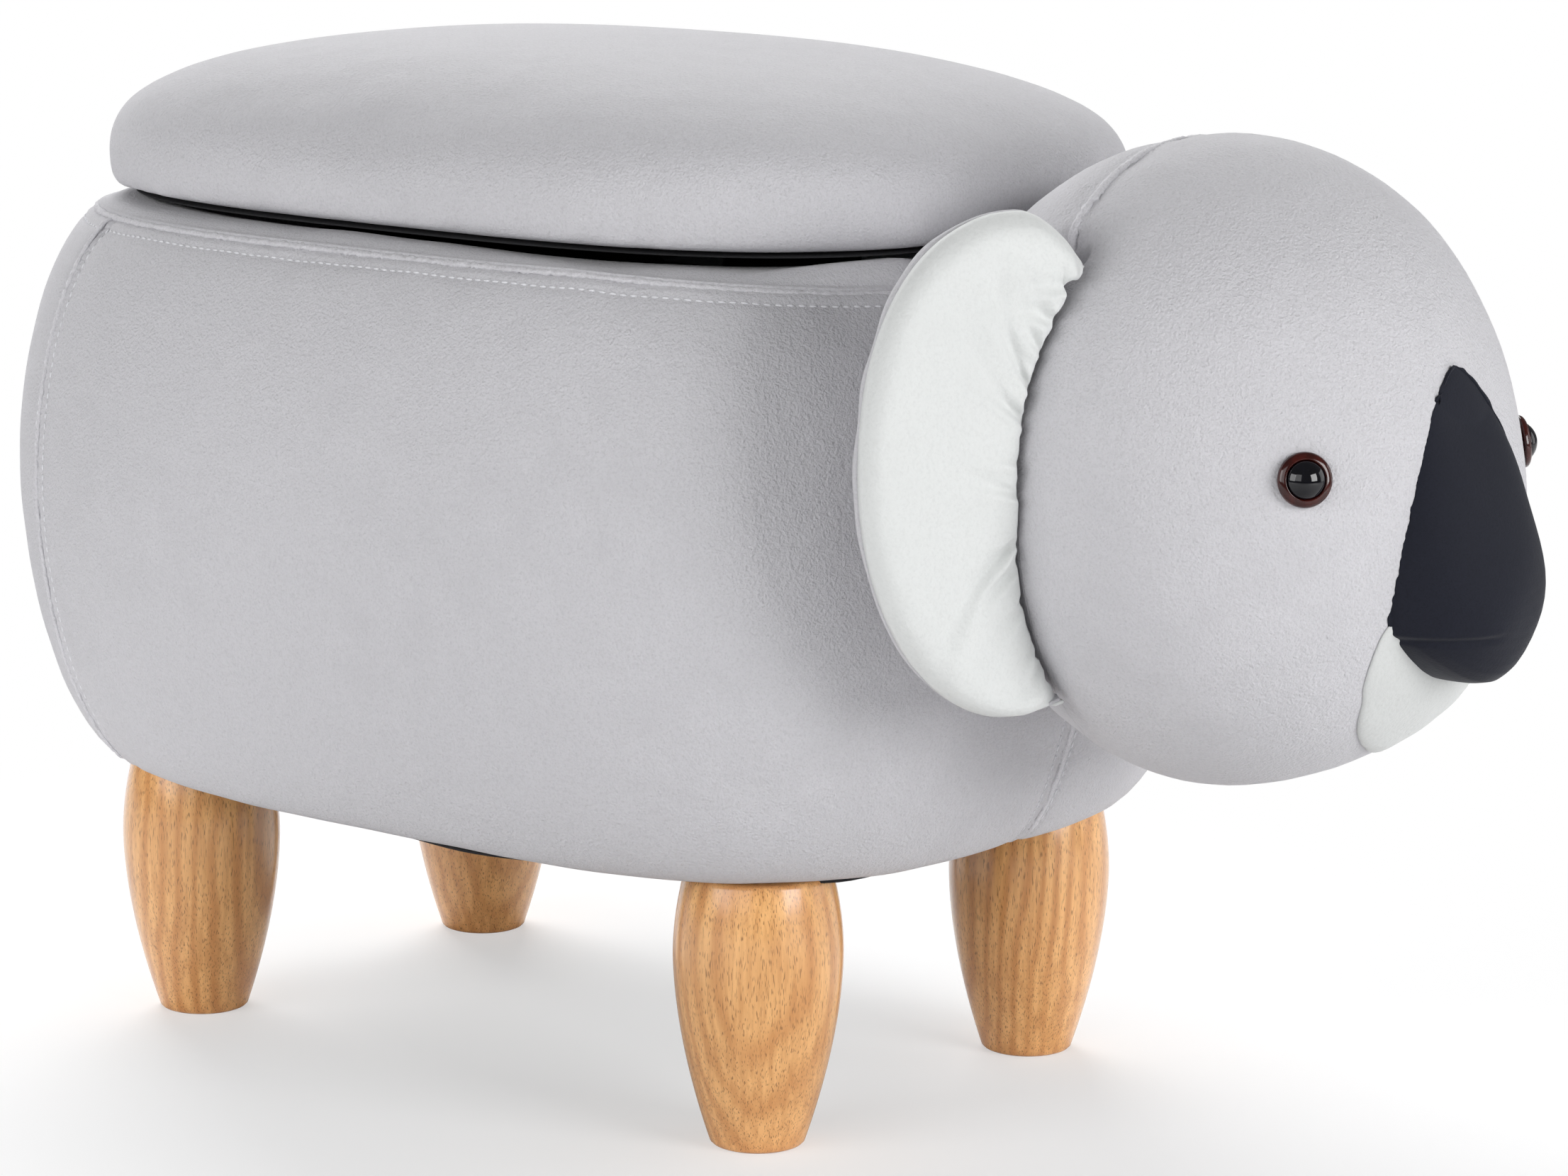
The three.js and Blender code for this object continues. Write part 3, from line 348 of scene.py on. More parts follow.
def plated_steel():
    """Zinc-plated steel, finely brushed and slightly dulled."""
    made, tree, shader, place = new_material("zinc_steel")
    base = colours().steel
    brush = node(tree, "ShaderNodeMapping", {"Scale": (1, 0.05, 1)}, Vector=place).outputs[0]
    lines, dull = noise(tree, brush, 2200, 3), noise(tree, place, 90, 3)
    dress(tree, shader, mixed(tree, ramp(tree, dull, 0.35, 0.7), base, tinted(base, 0.8)),
          bumped(tree, lines, 0.15, 0.0001), Roughness=between(tree, lines, 0.25, 0.5),
          Metallic=1.0)
    return made


def plastic(name, base, roughness, spread):
    """Moulded plastic with faint flow marks in colour and gloss."""
    made, tree, shader, place = new_material(name)
    flow = noise(tree, place, 260, 2, Distortion=0.6)
    dress(tree, shader, mixed(tree, ramp(tree, flow, 0.35, 0.65), tinted(base, 1 - spread),
                              tinted(base, 1 + spread)),
          Roughness=between(tree, flow, roughness * 0.8, roughness * 1.2))
    return made


finishes = {}


def finish(name):
    """The material of a slot, made the first time it is asked for."""
    makers = {
        "grey_velvet": velvet, "white_plush": plush, "nose_cloth": nose_cloth,
        "black_cloth": lining_cloth, "rubberwood": leg_wood, "plywood": board_wood,
        "padding_foam": padding, "zinc_steel": plated_steel,
        "fibre": lambda: fabric("fibre", paint(242, 242, 240), 0.02, 900, 120, 0.0006, 1.0, 0.0),
        # The muzzle's plush is the white plush darkened to 0.88: painted shade for the nose above
        # it and its downward face.
        "seam_pile_painted_light": seam_pile_painted_light, "muzzle_plush_painted_shade": lambda: plush(0.88, "muzzle_plush_painted_shade"),
        "thread": lambda: fabric("thread", colours().thread, 0.03, 2600, 300, 0.0001, 0.7, 0.1),
        "iris_brown": lambda: plastic("iris_brown", colours().iris, 0.12, 0.3),
        "pupil_black": lambda: plastic("pupil_black", colours().pupil, 0.05, 0.2),
        "white_plastic": lambda: plastic("white_plastic", paint(222, 222, 220), 0.4, 0.04),
    }
    if name not in finishes:
        finishes[name] = makers[name]()
    return finishes[name]


# Mesh tools

def points_of(mesh):
    """Corners of a mesh, one row each."""
    return np.array([v.co for v in mesh.verts], float).reshape(-1, 3)


def move_to(bm, points):
    """Puts the corners of a mesh at points."""
    for vert, point in zip(bm.verts, points):
        vert.co = point


def carried(points, matrix):
    """Points carried by a matrix."""
    matrix = np.array(matrix)
    return points @ matrix[:3, :3].T + matrix[:3, 3]


def arc_lengths(line):
    """How far along a line of points each of them lies."""
    return np.concatenate([[0], np.cumsum(np.linalg.norm(np.diff(line, axis=0), axis=1))])


def sampled(marks, steps, line):
    """Points, or other rows of numbers, at marks along a line."""
    return np.stack([np.interp(marks, steps, column) for column in np.transpose(line)], axis=-1)


def lengths_of(rows):
    """Length of each row, as a column."""
    return np.linalg.norm(rows, axis=1, keepdims=True)


def grid(columns, rows):
    """A flat grid of faces, with the column and row of each of its corners."""
    bm = bmesh.new()
    bmesh.ops.create_grid(bm, x_segments=columns, y_segments=rows, size=1)
    at = points_of(bm)
    if len(at) != (columns + 1) * (rows + 1):
        raise RuntimeError("the grid has another count of corners than it was asked for")
    column, row = (np.rint((at[:, axis] + 1) / 2 * count).astype(int)
                   for axis, count in ((0, columns), (1, rows)))
    return bm, column, row


def spun(profile, steps):
    """A profile of (radius, height) spun once round the Z axis."""
    bm = bmesh.new()
    verts = [bm.verts.new((radius, 0, height)) for radius, height in profile]
    edges = [bm.edges.new(pair) for pair in zip(verts, verts[1:])]
    bmesh.ops.spin(bm, geom=verts + edges, cent=(0, 0, 0), axis=(0, 0, 1), angle=TURN,
                   steps=steps, use_merge=True)
    bmesh.ops.remove_doubles(bm, verts=bm.verts, dist=1e-6)
    bmesh.ops.recalc_face_normals(bm, faces=bm.faces)
    return bm


def face_outwards(bm, middle):
    """Turns an open skin so that its faces look away from a point."""
    bm.normal_update()
    facing = sum(f.normal.dot(f.calc_center_median() - Vector(middle)) * f.calc_area()
                 for f in bm.faces)
    if facing < 0:
        bmesh.ops.reverse_faces(bm, faces=bm.faces)


def piece(name, bm, body, slot, replaced=(), material=None, thickness=0, subdivide=0):
    """Makes an object of a mesh, gives it its finish and puts it on a body of the frame."""
    mesh = bpy.data.meshes.new(name)
    bm.to_mesh(mesh)
    bm.free()
    mesh.shade_smooth()
    obj = bpy.data.objects.new(name, mesh)
    bpy.context.scene.collection.objects.link(obj)
    mesh.materials.append(material or finish(slot))
    if thickness:
        wall = obj.modifiers.new("wall", "SOLIDIFY")
        wall.thickness, wall.offset = thickness, -1
    if subdivide:
        finer = obj.modifiers.new("finer", "SUBSURF")
        finer.levels = finer.render_levels = subdivide
    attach(obj, body)
    if replaced:
        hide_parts(*replaced)
    return obj


def waves(points, size, seed):
    """A soft irregular relief between about -1 and 1, with hollows of a size."""
    rng = np.random.default_rng(seed)
    total = np.zeros(len(points))
    for _ in range(7):
        way = rng.normal(size=3)
        way /= np.linalg.norm(way)
        total += np.sin(points @ way * TURN / (size * rng.uniform(0.7, 1.6))
                        + rng.uniform(0, TURN))
    return total / 3.5


def dip(distance, width):
    """1 on a line and falling to 0 over a width."""
    return np.exp(-(distance / width) ** 2)


def eased(share):
    """A share cut to 0..1, with a soft start and end."""
    share = np.clip(share, 0, 1)
    return share * share * (3 - 2 * share)


CLOTH_FRAMES = 20


def plumped(bm, voxel, pressure, cap, held, smoothing):
    """Swells a closed form as cloth under pressure and eases it; held tells what stays put."""
    mesh = bpy.data.meshes.new("plumped")
    bm.to_mesh(mesh)
    bm.free()
    obj = bpy.data.objects.new("plumped", mesh)
    scene = bpy.context.scene
    scene.collection.objects.link(obj)
    even = obj.modifiers.new("even", "REMESH")
    even.mode, even.voxel_size = "VOXEL", voxel

    def evaluated():
        graph = bpy.context.evaluated_depsgraph_get()
        return bpy.data.meshes.new_from_object(obj.evaluated_get(graph))

    obj.data = evaluated()
    obj.modifiers.clear()
    rest = np.array([v.co for v in obj.data.vertices])
    group = obj.vertex_groups.new(name="held")
    group.add([int(i) for i in np.flatnonzero(held(rest))], 1.0, "REPLACE")
    cloth = obj.modifiers.new("cloth", "CLOTH")
    settings = cloth.settings
    settings.quality = 6
    settings.mass = 0.3
    settings.tension_stiffness = settings.compression_stiffness = 40
    settings.shear_stiffness = 20
    settings.bending_stiffness = 2
    settings.use_pressure = True
    settings.uniform_pressure_force = pressure
    settings.effector_weights.gravity = 0
    settings.vertex_group_mass = "held"
    cloth.point_cache.frame_start, cloth.point_cache.frame_end = 1, CLOTH_FRAMES
    for at in range(1, CLOTH_FRAMES + 1):
        scene.frame_set(at)
    swollen = evaluated()
    moved = np.array([v.co for v in swollen.vertices]) - rest
    moved *= np.minimum(1, cap / np.maximum(lengths_of(moved), 1e-9))
    obj.modifiers.clear()
    scene.frame_set(1)
    obj.data.vertices.foreach_set("co", (rest + moved).ravel())
    made = bmesh.new()
    made.from_mesh(obj.data)
    bpy.data.objects.remove(obj)
    for _ in range(smoothing):
        bmesh.ops.smooth_vert(made, verts=made.verts, factor=0.5, use_axis_x=True,
                              use_axis_y=True, use_axis_z=True)
    return made


def stitched(name, body, starts, ends, normals):
    """Stitches that lie between pairs of points on a surface."""
    bm = bmesh.new()
    thread = sizes().thread
    for start, end, normal in zip(starts, ends, normals):
        along = Vector(end - start)
        x = along.normalized()
        z = Vector(normal)
        z = (z - x * z.dot(x)).normalized()
        turned = Matrix((x, z.cross(x), z)).transposed().to_4x4()
        middle = Matrix.Translation((Vector(start) + Vector(end)) / 2)
        size = Matrix.Diagonal((along.length / 2, thread * 0.6, thread * 0.5, 1))
        bmesh.ops.create_icosphere(bm, subdivisions=1, radius=1,
                                   matrix=middle @ turned @ size)
    return piece(name, bm, body, "grey_velvet", material=finish("thread"))


WELT_COLUMN = 0.0009
WELT_ROWS = 8


def joined_rows(rows):
    """Rows of (starts, ends, normals) as one long row of each."""
    return [np.concatenate(column) for column in zip(*rows)]


def welt(name, body, line, normals, width, height, seed, joined=False):
    """A ridge of standing pile along a line on a surface, uneven as brushed velvet is."""
    steps = arc_lengths(line)
    columns, rows = max(WELT_ROWS, round(steps[-1] / WELT_COLUMN)), WELT_ROWS
    bm, c, r = grid(columns, rows)
    at = steps[-1] * c / columns
    spot, up = sampled(at, steps, line), sampled(at, steps, normals)
    ahead = sampled(at + 0.001, steps, line) - sampled(at - 0.001, steps, line)
    up /= lengths_of(up)
    across = np.cross(ahead, up)
    across /= lengths_of(across)
    rng = np.random.default_rng(seed)
    tuft = rng.normal(0, 1, (columns + 1, rows + 1))
    tuft[-1] = tuft[0]
    tuft[:, -1] = tuft[:, 0]
    ripple = np.sin(at * TURN / 0.0093 + 3 * np.sin(at * TURN / 0.031))
    uneven = 1 + 0.15 * tuft[c, r] + 0.09 * ripple
    if not joined:
        uneven *= np.clip(np.minimum(c, columns - c) / 3, 0, 1)
    turn = TURN * r / rows
    move_to(bm, spot + across * (width / 2 * np.cos(turn) * uneven)[:, None]
            + up * (height * (np.sin(turn) * uneven - 0.35))[:, None])
    bmesh.ops.remove_doubles(bm, verts=bm.verts, dist=2e-6)
    bmesh.ops.recalc_face_normals(bm, faces=bm.faces)
    # The ridge's velvet is painted lighter than the panels: painted light on the raised pile.
    return piece(name, bm, body, "grey_velvet", material=finish("seam_pile_painted_light"))


# Padded wall of the stool

BODY_MIDDLE = (BODY_X, 0, 0.2)
TOP_STITCHING = 0.0066  # topstitching below the top seam
SIDE_STITCHING = 0.0045  # topstitching beside an upright seam
SAG_TURNS, SAG_DEPTHS = (14, 24, 34, 62), (0, 0.005, 0.0043, 0)  # top seam, degrees from the head
SAG_BELOW, SAG_HEIGHT = 0.035, 0.032  # where it starts below the rim's top, and eases in over
SAG_INSIDE, SAG_DEPTH = 0.004, 0.0112  # where it starts inside the plan's edge, and eases in over
BULGE_LOW, BULGE_HIGH = 2 / 1.8, 2 / 1.9  # powers of the bulge's curve below and above its crest
HEM_TURN_IN = 0.013
SHOULDER_DROP = 0.003  # where the bulge ends and the rounded edge begins, below the rim's top


def oval_reach(turn):
    """How far an oval of half sizes 1 reaches at a turn."""
    power = sizes().oval_power
    return (np.abs(np.cos(turn)) ** power + np.abs(np.sin(turn)) ** power) ** (-1 / power)


class Wall:
    """A profile of (offset, height) carried round the oval plan of the stool."""

    def __init__(self, profile):
        self.profile = np.array(profile, float)
        self.lengths = arc_lengths(self.profile)
        self.height = self.lengths[-1]

    def at(self, turn, along):
        """Points at turns round the stool and at lengths along the profile."""
        s = sizes()
        offset, z = sampled(along, self.lengths, self.profile).T
        aside = np.abs(np.degrees((turn + math.pi) % TURN - math.pi))
        sag = np.interp(aside, SAG_TURNS, SAG_DEPTHS) * eased((offset + SAG_INSIDE) / SAG_DEPTH)
        z = z - sag * eased((z - RIM_TOP + SAG_BELOW) / SAG_HEIGHT)
        reach = oval_reach(turn)
        return np.stack([BODY_X + (s.plan_length + offset) * reach * np.cos(turn),
                         (s.plan_width + offset) * reach * np.sin(turn), z], axis=-1)

    def normal(self, turn, along):
        """Ways that point out of the wall there."""
        turned, moved = 1e-3, 6e-4
        round_it = self.at(turn + turned, along) - self.at(turn - turned, along)
        up = (self.at(turn, np.minimum(along + moved, self.height))
              - self.at(turn, np.maximum(along - moved, 0)))
        out = np.cross(round_it, up)
        return out / np.linalg.norm(out, axis=-1, keepdims=True)


def bulge_profile():
    """From the hem turned in below, round the bottom edge and up to the top seam."""
    s = sizes()
    crest = HEM_Z + (RIM_TOP - HEM_Z) * s.crest
    low = np.linspace(-math.pi / 2, 0, 90)
    lower = np.stack([s.bulge * np.cos(low).clip(0) ** BULGE_LOW,
                      crest - (crest - HEM_Z) * np.abs(np.sin(low)) ** BULGE_LOW], axis=-1)
    seam_share = (1 - (s.seam_offset / s.bulge) ** (2 / BULGE_HIGH)) ** (BULGE_HIGH / 2)
    reach = (RIM_TOP - SHOULDER_DROP - crest) / seam_share
    high = np.linspace(0, math.asin(seam_share ** (1 / BULGE_HIGH)), 60)[1:]
    upper = np.stack([s.bulge * np.cos(high) ** BULGE_HIGH,
                      crest + reach * np.sin(high) ** BULGE_HIGH], axis=-1)
    return np.concatenate([[[-HEM_TURN_IN, HEM_Z]], lower, upper, shoulder()[0][1:]])


def softened(profile, times=3):
    """Cuts the corners off an open profile and keeps its ends."""
    points = np.array(profile, float)
    for _ in range(times):
        first, last = points[0], points[-1]
        near, far = points[:-1], points[1:]
        points = np.stack([0.75 * near + 0.25 * far, 0.25 * near + 0.75 * far], axis=1)
        points = np.concatenate([[first], points.reshape(-1, 2)[1:-1], [last]])
    return points


NEAR_SEAM = np.array(
    [0, 0.6, 1.2, 1.9, 2.7, 3.5, 4.5, 5.5, 6.6, 7.7, 9, 11, 14, 18, 23]) / 1000


def stations(total, step, first=True):
    """Places along a length, close together beside a seam at its end and at its start."""
    start = NEAR_SEAM if first else np.array([0.0])
    end = total - NEAR_SEAM[::-1]
    count = max(2, round((end[0] - start[-1]) / step))
    return np.concatenate([start[:-1], np.linspace(start[-1], end[0], count + 1), end[1:]])


class Panel:
    """A stretch of the padded wall between two turns."""

    def __init__(self, wall, start, end):
        self.wall = wall
        turns = np.linspace(start, end, 600)
        crest = wall.at(turns, np.full_like(turns, wall.height * 0.5))
        self.turns = turns
        self.arcs = arc_lengths(crest)
        self.width = self.arcs[-1]

    def point(self, across, along, lift=0.0):
        """Points of the panel, lifted off the wall."""
        turn = np.interp(across, self.arcs, self.turns)
        return self.wall.at(turn, along) + self.wall.normal(turn, along) * np.reshape(lift, (-1, 1))

    def relief(self, across, along):
        """How far the velvet stands off its foam: drawn in at the seams, and softly uneven."""
        side = np.minimum(across, self.width - across)
        top = self.wall.height - along
        spot = self.point(across, along)
        lift = 0.0006 * waves(spot, 0.12, 3) + 0.00018 * waves(spot, 0.03, 4)
        pucker, fray = 1 + 0.5 * waves(spot, 0.022, 5), 1 + 0.5 * waves(spot, 0.007, 6)
        lift += 0.0006 * (dip(side, 0.0022) + dip(top, 0.0022)) * fray
        lift -= (0.0007 * dip(side, 0.008) * (1 - 0.6 * dip(top, 0.014))
                 + 0.0006 * dip(side - SIDE_STITCHING, 0.0012))
        lift -= (0.0006 * dip(top - TOP_STITCHING, 0.0015)
                 + 0.0007 * dip(top - 0.006, 0.008) * pucker)
        return lift

    def skin(self):
        """The panel's velvet as an open mesh."""
        columns = stations(self.width, 0.0052)
        rows = stations(self.wall.height, 0.0048, first=False)
        bm, c, r = grid(len(columns) - 1, len(rows) - 1)
        gap = 0.0001
        across = np.clip(columns[c], gap, self.width - gap)
        along = np.minimum(rows[r], self.wall.height - gap)
        move_to(bm, self.point(across, along, self.relief(across, along)))
        face_outwards(bm, BODY_MIDDLE)
        return bm

    def stitch_line(self, across, along):
        """Starts, ends and normals of the stitches on a line given by two lists."""
        s = sizes()
        line = self.point(across, along, self.relief(across, along) + 0.0001)
        steps = arc_lengths(line)
        marks = np.arange(s.pitch, steps[-1] - s.pitch, s.pitch)
        starts, ends = (sampled(at, steps, line) for at in (marks, marks + s.stitch))
        turn = np.interp(np.interp(marks, steps, across), self.arcs, self.turns)
        return starts, ends, self.wall.normal(turn, np.interp(marks, steps, along))


def shoulder():
    """The rounded edge up to the top seam, and from there in to the tub and down inside it."""
    edge, top = sizes().seam_offset, RIM_TOP
    points = softened([
        (edge, top - SHOULDER_DROP), (edge - 0.0021, top - 0.0007), (edge - 0.006, top), (0, top),
        (-0.0173, top), (-0.0201, top), (-0.0201, top - 0.003), (-0.0201, top - 0.018)])
    seam = int(np.argmax(points[:, 0] < edge - 0.0052))
    return points[:seam + 1], points[seam:]


# Shares of the rim band's puff, across the band and along the stool
RIM_ACROSS = ((0, 0.002, 0.005, 0.009, 0.016, 0.023, 0.029), (0, 0.15, 0.75, 1, 1, 0.6, 0))
RIM_ALONG = ((-0.2, -0.06, -0.02, 0.02, 0.06, 0.085, 0.1, 0.11),
             (1.15, 1.05, 0.4, 0, 0.1, 1.2, 1.8, 1.8))
RIM_PUFF = 0.0027


def rim_rise(spot, along):
    """How far the rim band puffs up under the lid: most near the head, none by the hinges."""
    rise = np.interp(along, *RIM_ACROSS)
    place = np.interp(spot[:, 0], *RIM_ALONG)
    aside = np.interp(np.abs(spot[:, 1]), (0.035, 0.055), (0, 1))
    place *= np.where(spot[:, 0] > 0.08, aside, 1)
    hinge = np.interp(spot[:, 1], (0.06, 0.1), (1, 0))
    return RIM_PUFF * rise * place * hinge + 0.0003 * waves(spot, 0.035, 8) * rise


class FOOTSTOOL_OT_body(bpy.types.Operator):
    """Velvet panels of the body with their seams, the rim band and the foam under them"""
    bl_idname = "footstool.body"
    bl_label = "Body cover"

    def execute(self, context):
        s = sizes()
        wall = Wall(bulge_profile())
        rear = s.rear_seam
        panels = {
            "side_panel_right": Panel(wall, -rear, 0),
            "side_panel_left": Panel(wall, 0, rear),
            "rear_panel": Panel(wall, rear, TURN - rear),
        }
        rows = []
        for name, panel in panels.items():
            piece(f"{name}_velvet", panel.skin(), "stool", "grey_velvet", (name,),
                  thickness=s.cloth)
            across = np.linspace(0.003, panel.width - 0.003, 400)
            below = np.full_like(across, wall.height - TOP_STITCHING)
            rows.append(panel.stitch_line(across, below))
            along = np.linspace(0.02, wall.height - 0.004, 200)
            for side in (SIDE_STITCHING, panel.width - SIDE_STITCHING):
                rows.append(panel.stitch_line(np.full_like(along, side), along))
        stitched("body_topstitching", "stool", *joined_rows(rows))
        turns = np.linspace(0, TURN, 900)
        top = np.full_like(turns, wall.height - 0.0002)
        normals = wall.normal(turns, top)
        line = wall.at(turns, top) + normals * 0.0006
        welt("top_seam", "stool", line, normals, 0.0034, 0.0011, 61, joined=True)
        for name, turn in (("right", -rear), ("left", rear), ("front", 0)):
            along = np.linspace(0.022, wall.height, 160)
            turns = np.full_like(along, turn)
            line, normals = wall.at(turns, along), wall.normal(turns, along)
            lift = 0.0006 * waves(line, 0.12, 3) + 0.0004 * dip(wall.height - along, 0.014)
            welt(f"seam_{name}", "stool", line + normals * lift[:, None], normals,
                 0.0026, 0.0008, 62)
        self.rim()
        self.foam(wall)
        return {"FINISHED"}

    def rim(self):
        """Velvet band over the top of the tub wall."""
        wall = Wall(shoulder()[1])
        stops = np.concatenate([NEAR_SEAM[:9], np.linspace(0.0078, wall.height, 36)])
        columns = 260
        bm, c, r = grid(columns, len(stops) - 1)
        turn, along = c / columns * TURN, stops[r]
        spot = wall.at(turn, along)
        lift = rim_rise(spot, along) + 0.0006 * dip(along, 0.0022)
        move_to(bm, spot + wall.normal(turn, along) * lift[:, None])
        bmesh.ops.remove_doubles(bm, verts=bm.verts, dist=1e-6)
        face_outwards(bm, (BODY_X, 0, RIM_TOP - 0.03))
        s = sizes()
        piece("rim_band_velvet", bm, "stool", "grey_velvet", ("rim_band",), thickness=s.cloth)
        marks = np.arange(0.002, 0.012, s.pitch)
        rows = []
        for turn in (-s.rear_seam - 0.03, s.rear_seam + 0.03):
            turns, ends = np.full_like(marks, turn), []
            for at in (marks, marks + s.stitch):
                spot, normal = wall.at(turns, at), wall.normal(turns, at)
                ends.append(spot + normal * (rim_rise(spot, at) + 0.0008)[:, None])
            rows.append((*ends, normal))
        stitched("rim_stitching", "stool", *joined_rows(rows))

    def foam(self, wall):
        """Foam between the velvet and the tub."""
        under = wall.profile[wall.profile[:, 1] > HEM_Z + 0.004][::6] - (0.0062, 0)
        under = under[under[:, 1] < RIM_TOP - 0.008]
        loop = [(-0.0047, HEM_Z + 0.002), *under, (0.001, RIM_TOP - 0.0052),
                (-0.0047, RIM_TOP - 0.0045)]
        strip = [(-0.005, RIM_TOP - 0.0035), (-0.005, RIM_TOP - 0.0019),
                 (-0.017, RIM_TOP - 0.0019), (-0.017, RIM_TOP - 0.0035)]
        flat_wall = Wall([(-1, 0), (1, 0)])
        for name, ring in (("body_foam", loop), ("rim_foam", strip)):
            bm = spun([(1 + offset, height) for offset, height in [*ring, ring[0]]], 120)
            at = points_of(bm)
            turn = np.arctan2(at[:, 1], at[:, 0])
            flat = flat_wall.at(turn, np.hypot(at[:, 0], at[:, 1]))
            move_to(bm, np.stack([flat[:, 0], flat[:, 1], at[:, 2]], axis=-1))
            bmesh.ops.recalc_face_normals(bm, faces=bm.faces)
            piece(f"{name}_padding", bm, "stool", "padding_foam", (name,))


def ovalled(bm, half_length, half_width):
    """Turns a spun form of radius shares into one of the lid's oval plan."""
    at = points_of(bm)
    radius, turn = np.hypot(at[:, 0], at[:, 1]), np.arctan2(at[:, 1], at[:, 0])
    reach = oval_reach(turn)
    move_to(bm, np.stack([BODY_X + half_length * radius * reach * np.cos(turn),
                          half_width * radius * reach * np.sin(turn), at[:, 2]], axis=-1))
    return bm


def middles(*names):
    """Middles of the boxes of some of the frame's nodes."""
    return [(low + high) / 2 for low, high in map(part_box, names)]


BASE_HANG = 0.0019
LOOSE_TURNS = ((-77, 9), (-32, 7))  # where the base cloth hangs and over what width, in degrees
UNSTAPLED = ((0.23, -1), (0.9, -0.62))  # middles of those stretches, in the cloth's half sizes
STAPLE = (0.0095, 0.0011, 0.0005)
STAPLE_CLEARANCE = (0.03, 0.045)  # along and across the stool, from the middle of a gap


def staples(name, body, half, z, count, gaps):
    """Wire staples round the edge of a cloth seen from below, with gaps where parts lie on it."""
    bm = bmesh.new()
    for turn in np.linspace(0, TURN, count, endpoint=False):
        reach = oval_reach(turn)
        x, y = BODY_X + half.x * reach * math.cos(turn), half.y * reach * math.sin(turn)
        if any(abs(x - gap.x) < STAPLE_CLEARANCE[0] and abs(y - gap.y) < STAPLE_CLEARANCE[1]
               for gap in gaps):
            continue
        lean = math.atan2(half.y * math.cos(turn), -half.x * math.sin(turn))
        lean += 0.12 * math.sin(9 * turn)
        placed = Matrix.Translation((x, y, z)) @ Matrix.Rotation(lean, 4, "Z")
        bmesh.ops.create_cube(bm, size=1, matrix=placed @ Matrix.Diagonal((*STAPLE, 1)))
    piece(name, bm, body, "zinc_steel")


class FOOTSTOOL_OT_tub(bpy.types.Operator):
    """Lining of the tub and the cloth under the base"""
    bl_idname = "footstool.tub"
    bl_label = "Tub lining and base cloth"

    def execute(self, context):
        low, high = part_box("tub_lining")
        half = (high - low) / 2
        inner = 1 - 0.001 / half.y
        bm = spun([(0, low.z), (0.5, low.z), (0.97, low.z), (1, low.z + 0.002), (1, high.z),
                   (inner, high.z), (inner, low.z + 0.004), (inner - 0.02, low.z + 0.0011),
                   (0.5, low.z + 0.001), (0, low.z + 0.001)], 160)
        upright = [e for e in bm.edges if abs(e.verts[0].co.z - e.verts[1].co.z) > 0.1]
        bmesh.ops.subdivide_edges(bm, edges=upright, cuts=24, use_grid_fill=True)
        piece("tub_lining_cloth", ovalled(bm, half.x, half.y), "stool", "black_cloth",
              ("tub_lining",))
        self.base_cloth()
        return {"FINISHED"}

    def base_cloth(self):
        """Cloth under the base, which hangs a little where two stretches of it have no staples."""
        low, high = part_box("dust_cover")
        half = (high - low) / 2
        rings = (0.6, 0.84, 0.88, 0.92, 0.96, 1)
        bm = spun([(0, low.z), *((ring, low.z) for ring in rings),
                   *((ring, high.z) for ring in reversed(rings)), (0, high.z)], 180)
        at = points_of(bm)
        turn = np.degrees(np.arctan2(at[:, 1], at[:, 0]))
        loose = np.minimum(sum(dip(turn - place, width) for place, width in LOOSE_TURNS), 1)
        at[:, 2] -= BASE_HANG * loose * eased((np.hypot(at[:, 0], at[:, 1]) - 0.82) / 0.16)
        move_to(bm, at)
        piece("base_cloth", ovalled(bm, half.x, half.y), "stool", "black_cloth", ("dust_cover",))
        legs = middles(*(f"leg_{name}" for name in LEGS))
        hanging = [Vector((BODY_X + half.x * x, half.y * y, 0)) for x, y in UNSTAPLED]
        staples("base_staples", "stool", half * 0.965, low.z - 0.0002, 44, legs + hanging)


class FOOTSTOOL_OT_legs(bpy.types.Operator):
    """Four turned wooden legs"""
    bl_idname = "footstool.legs"
    bl_label = "Legs"

    def execute(self, context):
        for name in LEGS:
            low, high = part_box(f"leg_{name}")
            belly = (high.x - low.x) / 2
            foot, top, waist, tall = 0.0162, 0.0255, 0.068, high.z
            bore, bored = 0.0043, 0.0303
            lower = [(belly - (belly - foot) * (1 - z / waist) ** 1.75, z)
                     for z in np.linspace(0.0012, waist, 40)]
            upper = [(belly - (belly - top) * ((z - waist) / (tall - waist)) ** 1.9, z)
                     for z in np.linspace(waist, tall - 0.0008, 22)[1:]]
            bm = spun([(0, 0), (foot * 0.6, 0), (foot - 0.0014, 0), (foot - 0.0004, 0.0004),
                       *lower, *upper, (top - 0.0008, tall),
                       (bore, tall), (bore, tall - bored), (0, tall - bored)], 72)
            bmesh.ops.translate(bm, verts=bm.verts,
                                vec=((low.x + high.x) / 2, (low.y + high.y) / 2, 0))
            piece(f"turned_leg_{name}", bm, "stool", "rubberwood", (f"leg_{name}",))
        return {"FINISHED"}


# How far the lid's edge hangs, by its place along the stool
LID_HANG = ((-0.28, -0.15, -0.05, 0.0, 0.04, 0.065, 0.085, 0.1),
            (0.0058, 0.0048, 0.005, 0.0052, 0.0054, 0.003, 0.0006, -0.0014))


